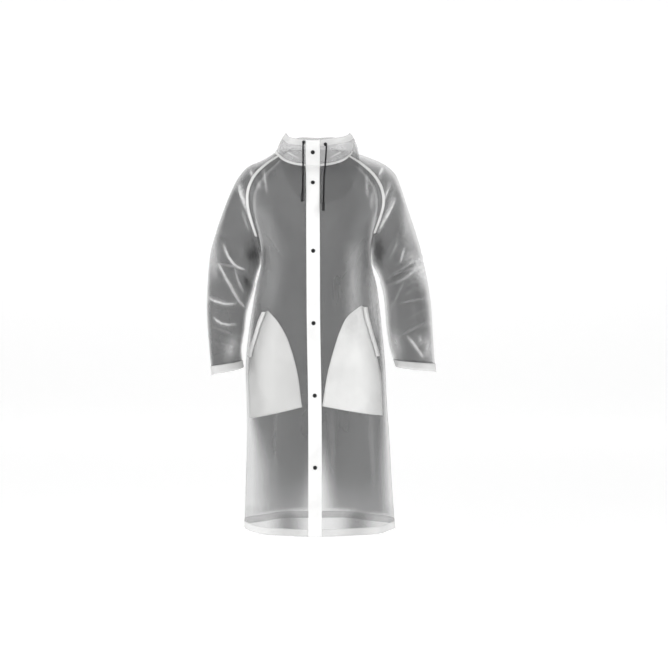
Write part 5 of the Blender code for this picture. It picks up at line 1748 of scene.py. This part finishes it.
def round_blank(name, radius, low, high, steps, finish):
    """A cylinder from one height to another on the Z axis, ready for shaping."""
    select_none()
    middle = (0.0, 0.0, (low + high) / 2)
    bpy.ops.mesh.primitive_cylinder_add(vertices=steps, radius=radius, depth=high - low, location=middle)
    blank = bpy.context.active_object
    blank.name = name
    blank.data.materials.append(finish)
    bpy.ops.object.transform_apply(location=True, rotation=True, scale=True)
    bpy.ops.object.mode_set(mode="EDIT")
    bpy.ops.mesh.select_mode(type="FACE")
    return blank


def round_edges(blank, width):
    bpy.ops.object.mode_set(mode="OBJECT")
    soft = blank.modifiers.new("Rounded edges", "BEVEL")
    soft.width = width
    soft.segments = 3
    soft.limit_method = "ANGLE"
    soft.angle_limit = math.radians(25)
    bpy.ops.object.modifier_apply(modifier=soft.name)
    bpy.ops.object.shade_smooth_by_angle(angle=math.radians(40))


def place_copy(pattern, name, place, direction, replaced):
    """A copy of a fitting with its own mesh, turned so that its Z axis follows a direction."""
    copy = pattern.copy()
    copy.data = pattern.data.copy()
    copy.name = name
    copy.data.name = name
    copy.hide_render = False
    bpy.context.scene.collection.objects.link(copy)
    turn = direction.to_track_quat("Z", "Y").to_matrix().to_4x4()
    copy.data.transform(Matrix.Translation(place) @ turn)
    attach(copy, BODY)
    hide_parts(replaced)
    return copy

# %% A snap's cap
CAP_FOOT = 0.0009  # height of the cap's straight edge
CAP_STEPS = (
    # inset, rise: the sloping rim, the crown, and the two steps of the dish in its middle
    (0.0013, 0.0010),
    (0.0006, 0.0003),
    (0.0019, -0.0004),
    (0.0004, -0.0003),
)
cap = round_blank("cap_pattern", SNAP_RADIUS, 0.0, CAP_FOOT, 40, snap_finish)
pick_faces(cap, lambda centre, normal: normal.z > UPRIGHT)
for inset, rise in CAP_STEPS:
    step_in(inset, rise)
round_edges(cap, 0.00018)
print("cap faces:", len(cap.data.polygons))

# %% An eyelet
EYELET_RADIUS, EYELET_FOOT = 0.0052, 0.0006
EYELET_RIM, EYELET_RISE, EYELET_LIP = 0.0007, 0.0005, 0.0016


def is_lid(centre, normal):
    return abs(normal.z) > UPRIGHT and math.hypot(centre.x, centre.y) < FACE_MIDDLE


eyelet = round_blank("eyelet_pattern", EYELET_RADIUS, 0.0, EYELET_FOOT, 40, snap_finish)
pick_faces(eyelet, lambda centre, normal: normal.z > UPRIGHT)
step_in(EYELET_RIM, EYELET_RISE)
pick_faces(eyelet, is_lid)
step_in(EYELET_LIP)
pick_faces(eyelet, is_lid)
bpy.ops.mesh.bridge_edge_loops()
round_edges(eyelet, 0.00016)
print("eyelet faces:", len(eyelet.data.polygons))

# %% A cord tip
TIP_SLOPE = 0.0008  # width of the sloping ring at each end
TIP_NOSE = 0.0006  # and its height
tip = round_blank("tip_pattern", TIP_RADIUS, TIP_NOSE - TIP_LENGTH, -TIP_NOSE, 32, snap_finish)
for way in (1, -1):
    pick_faces(tip, lambda centre, normal, way=way: normal.z * way > UPRIGHT)
    step_in(TIP_SLOPE, way * TIP_NOSE)
round_edges(tip, 0.00025)
print("tip faces:", len(tip.data.polygons))

# %% Put the fittings in place
def strip_place(grid, height):
    """A point on the middle of the placket at a height, and the direction straight out of it."""
    middle = grid[:, grid.shape[1] // 2]
    i = int(np.searchsorted(middle[:, 2], height)) - 1
    i = min(max(i, 0), len(middle) - 2)
    step = middle[i + 1] - middle[i]
    share = (height - middle[i, 2]) / step[2]
    out = Vector((1.0, 0.0, 0.0)).cross(Vector(step).normalized())
    return Vector(middle[i] + step * share), out.normalized()


for number, height in enumerate(SNAP_HEIGHTS, 1):
    point, out = strip_place(raised, height)
    place_copy(cap, f"fine_cap_{number}", point + out * (STRIP + 3 * SEAM), out, f"snap_cap_{number}")
for name, (cord, top, start, end, down, length) in cord_ends.items():
    place_copy(eyelet, f"fine_eyelet_{name}", top, start, f"eyelet_{name}")
    end_piece = place_copy(tip, f"fine_tip_{name}", end + down * SEAM, -down, f"cord_tip_{name}")
for pattern in (cap, eyelet, tip):
    bpy.data.objects.remove(pattern, do_unlink=True)
for node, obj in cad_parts.items():
    if node.startswith(("snap_stud", "snap_back")):
        obj.data.materials.clear()
        obj.data.materials.append(snap_finish)
print("fittings placed:", len(SNAP_HEIGHTS) + 2 * len(cord_ends))

# %% [markdown]
# ## The cloth's sizes
# The panels' widths, lengths and areas are measured along their own surfaces, so creases count as
# film and not as stretch.

# %% Sheets
SHEETS = (
    # piece, its panel, how it is held
    ("fine_back", "back", "hung"),
    ("fine_hood", "hood", "draped"),
    ("fine_front_left", ("front", 1), "hung"),
    ("fine_front_right", ("front", -1), "hung"),
    ("fine_sleeve_left", ("sleeve", 1), "hung"),
    ("fine_sleeve_right", ("sleeve", -1), "hung"),
)
for name, key, held in SHEETS:
    width, length = flat_size(panels[key])

# %% [markdown]
# ## Floor and light
# A plain pale floor that curves up behind the coat, as in a studio, and large soft lights: one in
# front, one from each side for the sheen on the creases, and a pale sky that fills in the rest.

# %% Floor
FLOOR_HEIGHT = -1.53
FLOOR_FRONT, FLOOR_END, FLOOR_SIDE = -9.0, 7.2, 12.0
FLOOR_CURVE = 1.4  # radius of the bend between the floor and the wall behind
WALL_TOP = 9.0
FLOOR_TONE = (0.90, 0.90, 0.90, 1.0)
WHITE_LIGHT = (1.0, 1.0, 1.0, 1.0)
FLOOR_GLOW = 0.34  # as if its paper were lit from behind

select_none()
floor_mesh = bpy.data.meshes.new("studio_floor")
profile = [(FLOOR_FRONT, 0.0), (FLOOR_END, 0.0)]
for bend in np.linspace(0.1, math.pi / 2, 16):
    profile.append((FLOOR_END + FLOOR_CURVE * math.sin(bend), FLOOR_CURVE - FLOOR_CURVE * math.cos(bend)))
profile.append((FLOOR_END + FLOOR_CURVE, WALL_TOP))
corners = [(x, y, FLOOR_HEIGHT + z) for x in (-FLOOR_SIDE, FLOOR_SIDE) for y, z in profile]
count = len(profile)
floor_mesh.from_pydata(corners, [], [(i, count + i, count + i + 1, i + 1) for i in range(count - 1)])
floor_mesh.shade_smooth()
floor = bpy.data.objects.new("studio_floor", floor_mesh)
bpy.context.scene.collection.objects.link(floor)
floor_finish, nodes, links, shader = new_finish("Pale floor")
feed(links, shader, {
    "Base Color": FLOOR_TONE,
    "Roughness": 0.9,
    "Emission Color": WHITE_LIGHT,
    "Emission Strength": FLOOR_GLOW,
})
floor_mesh.materials.append(floor_finish)
print("floor points:", len(floor_mesh.vertices))

# %% Light
AIR_LIGHT = 0.52
LIGHT_TARGET = Vector((0.0, 0.0, -0.5))
LIGHTS = (
    # name, place, width and height, power
    ("Front softbox", (-1.6, -4.4, 1.8), (2.4, 2.0), 80),
    ("Left strip", (-3.2, -0.6, 0.2), (0.7, 2.8), 40),
    ("Right strip", (3.2, -0.9, 0.4), (0.7, 2.8), 40),
)

world = bpy.data.worlds.new("Studio air")
bpy.context.scene.world = world
world.use_nodes = True
air = {"Color": WHITE_LIGHT, "Strength": AIR_LIGHT}
feed(world.node_tree.links, world.node_tree.nodes["Background"], air)
for name, place, size, power in LIGHTS:
    data = bpy.data.lights.new(name, "AREA")
    data.shape = "RECTANGLE"
    data.size, data.size_y = size
    data.energy = power
    light = bpy.data.objects.new(name, data)
    light.location = place
    light.rotation_mode = "QUATERNION"
    light.rotation_quaternion = (LIGHT_TARGET - Vector(place)).to_track_quat("-Z", "Y")
    bpy.context.scene.collection.objects.link(light)
bpy.context.scene.view_settings.view_transform = "Standard"
print("lights:", len(LIGHTS))
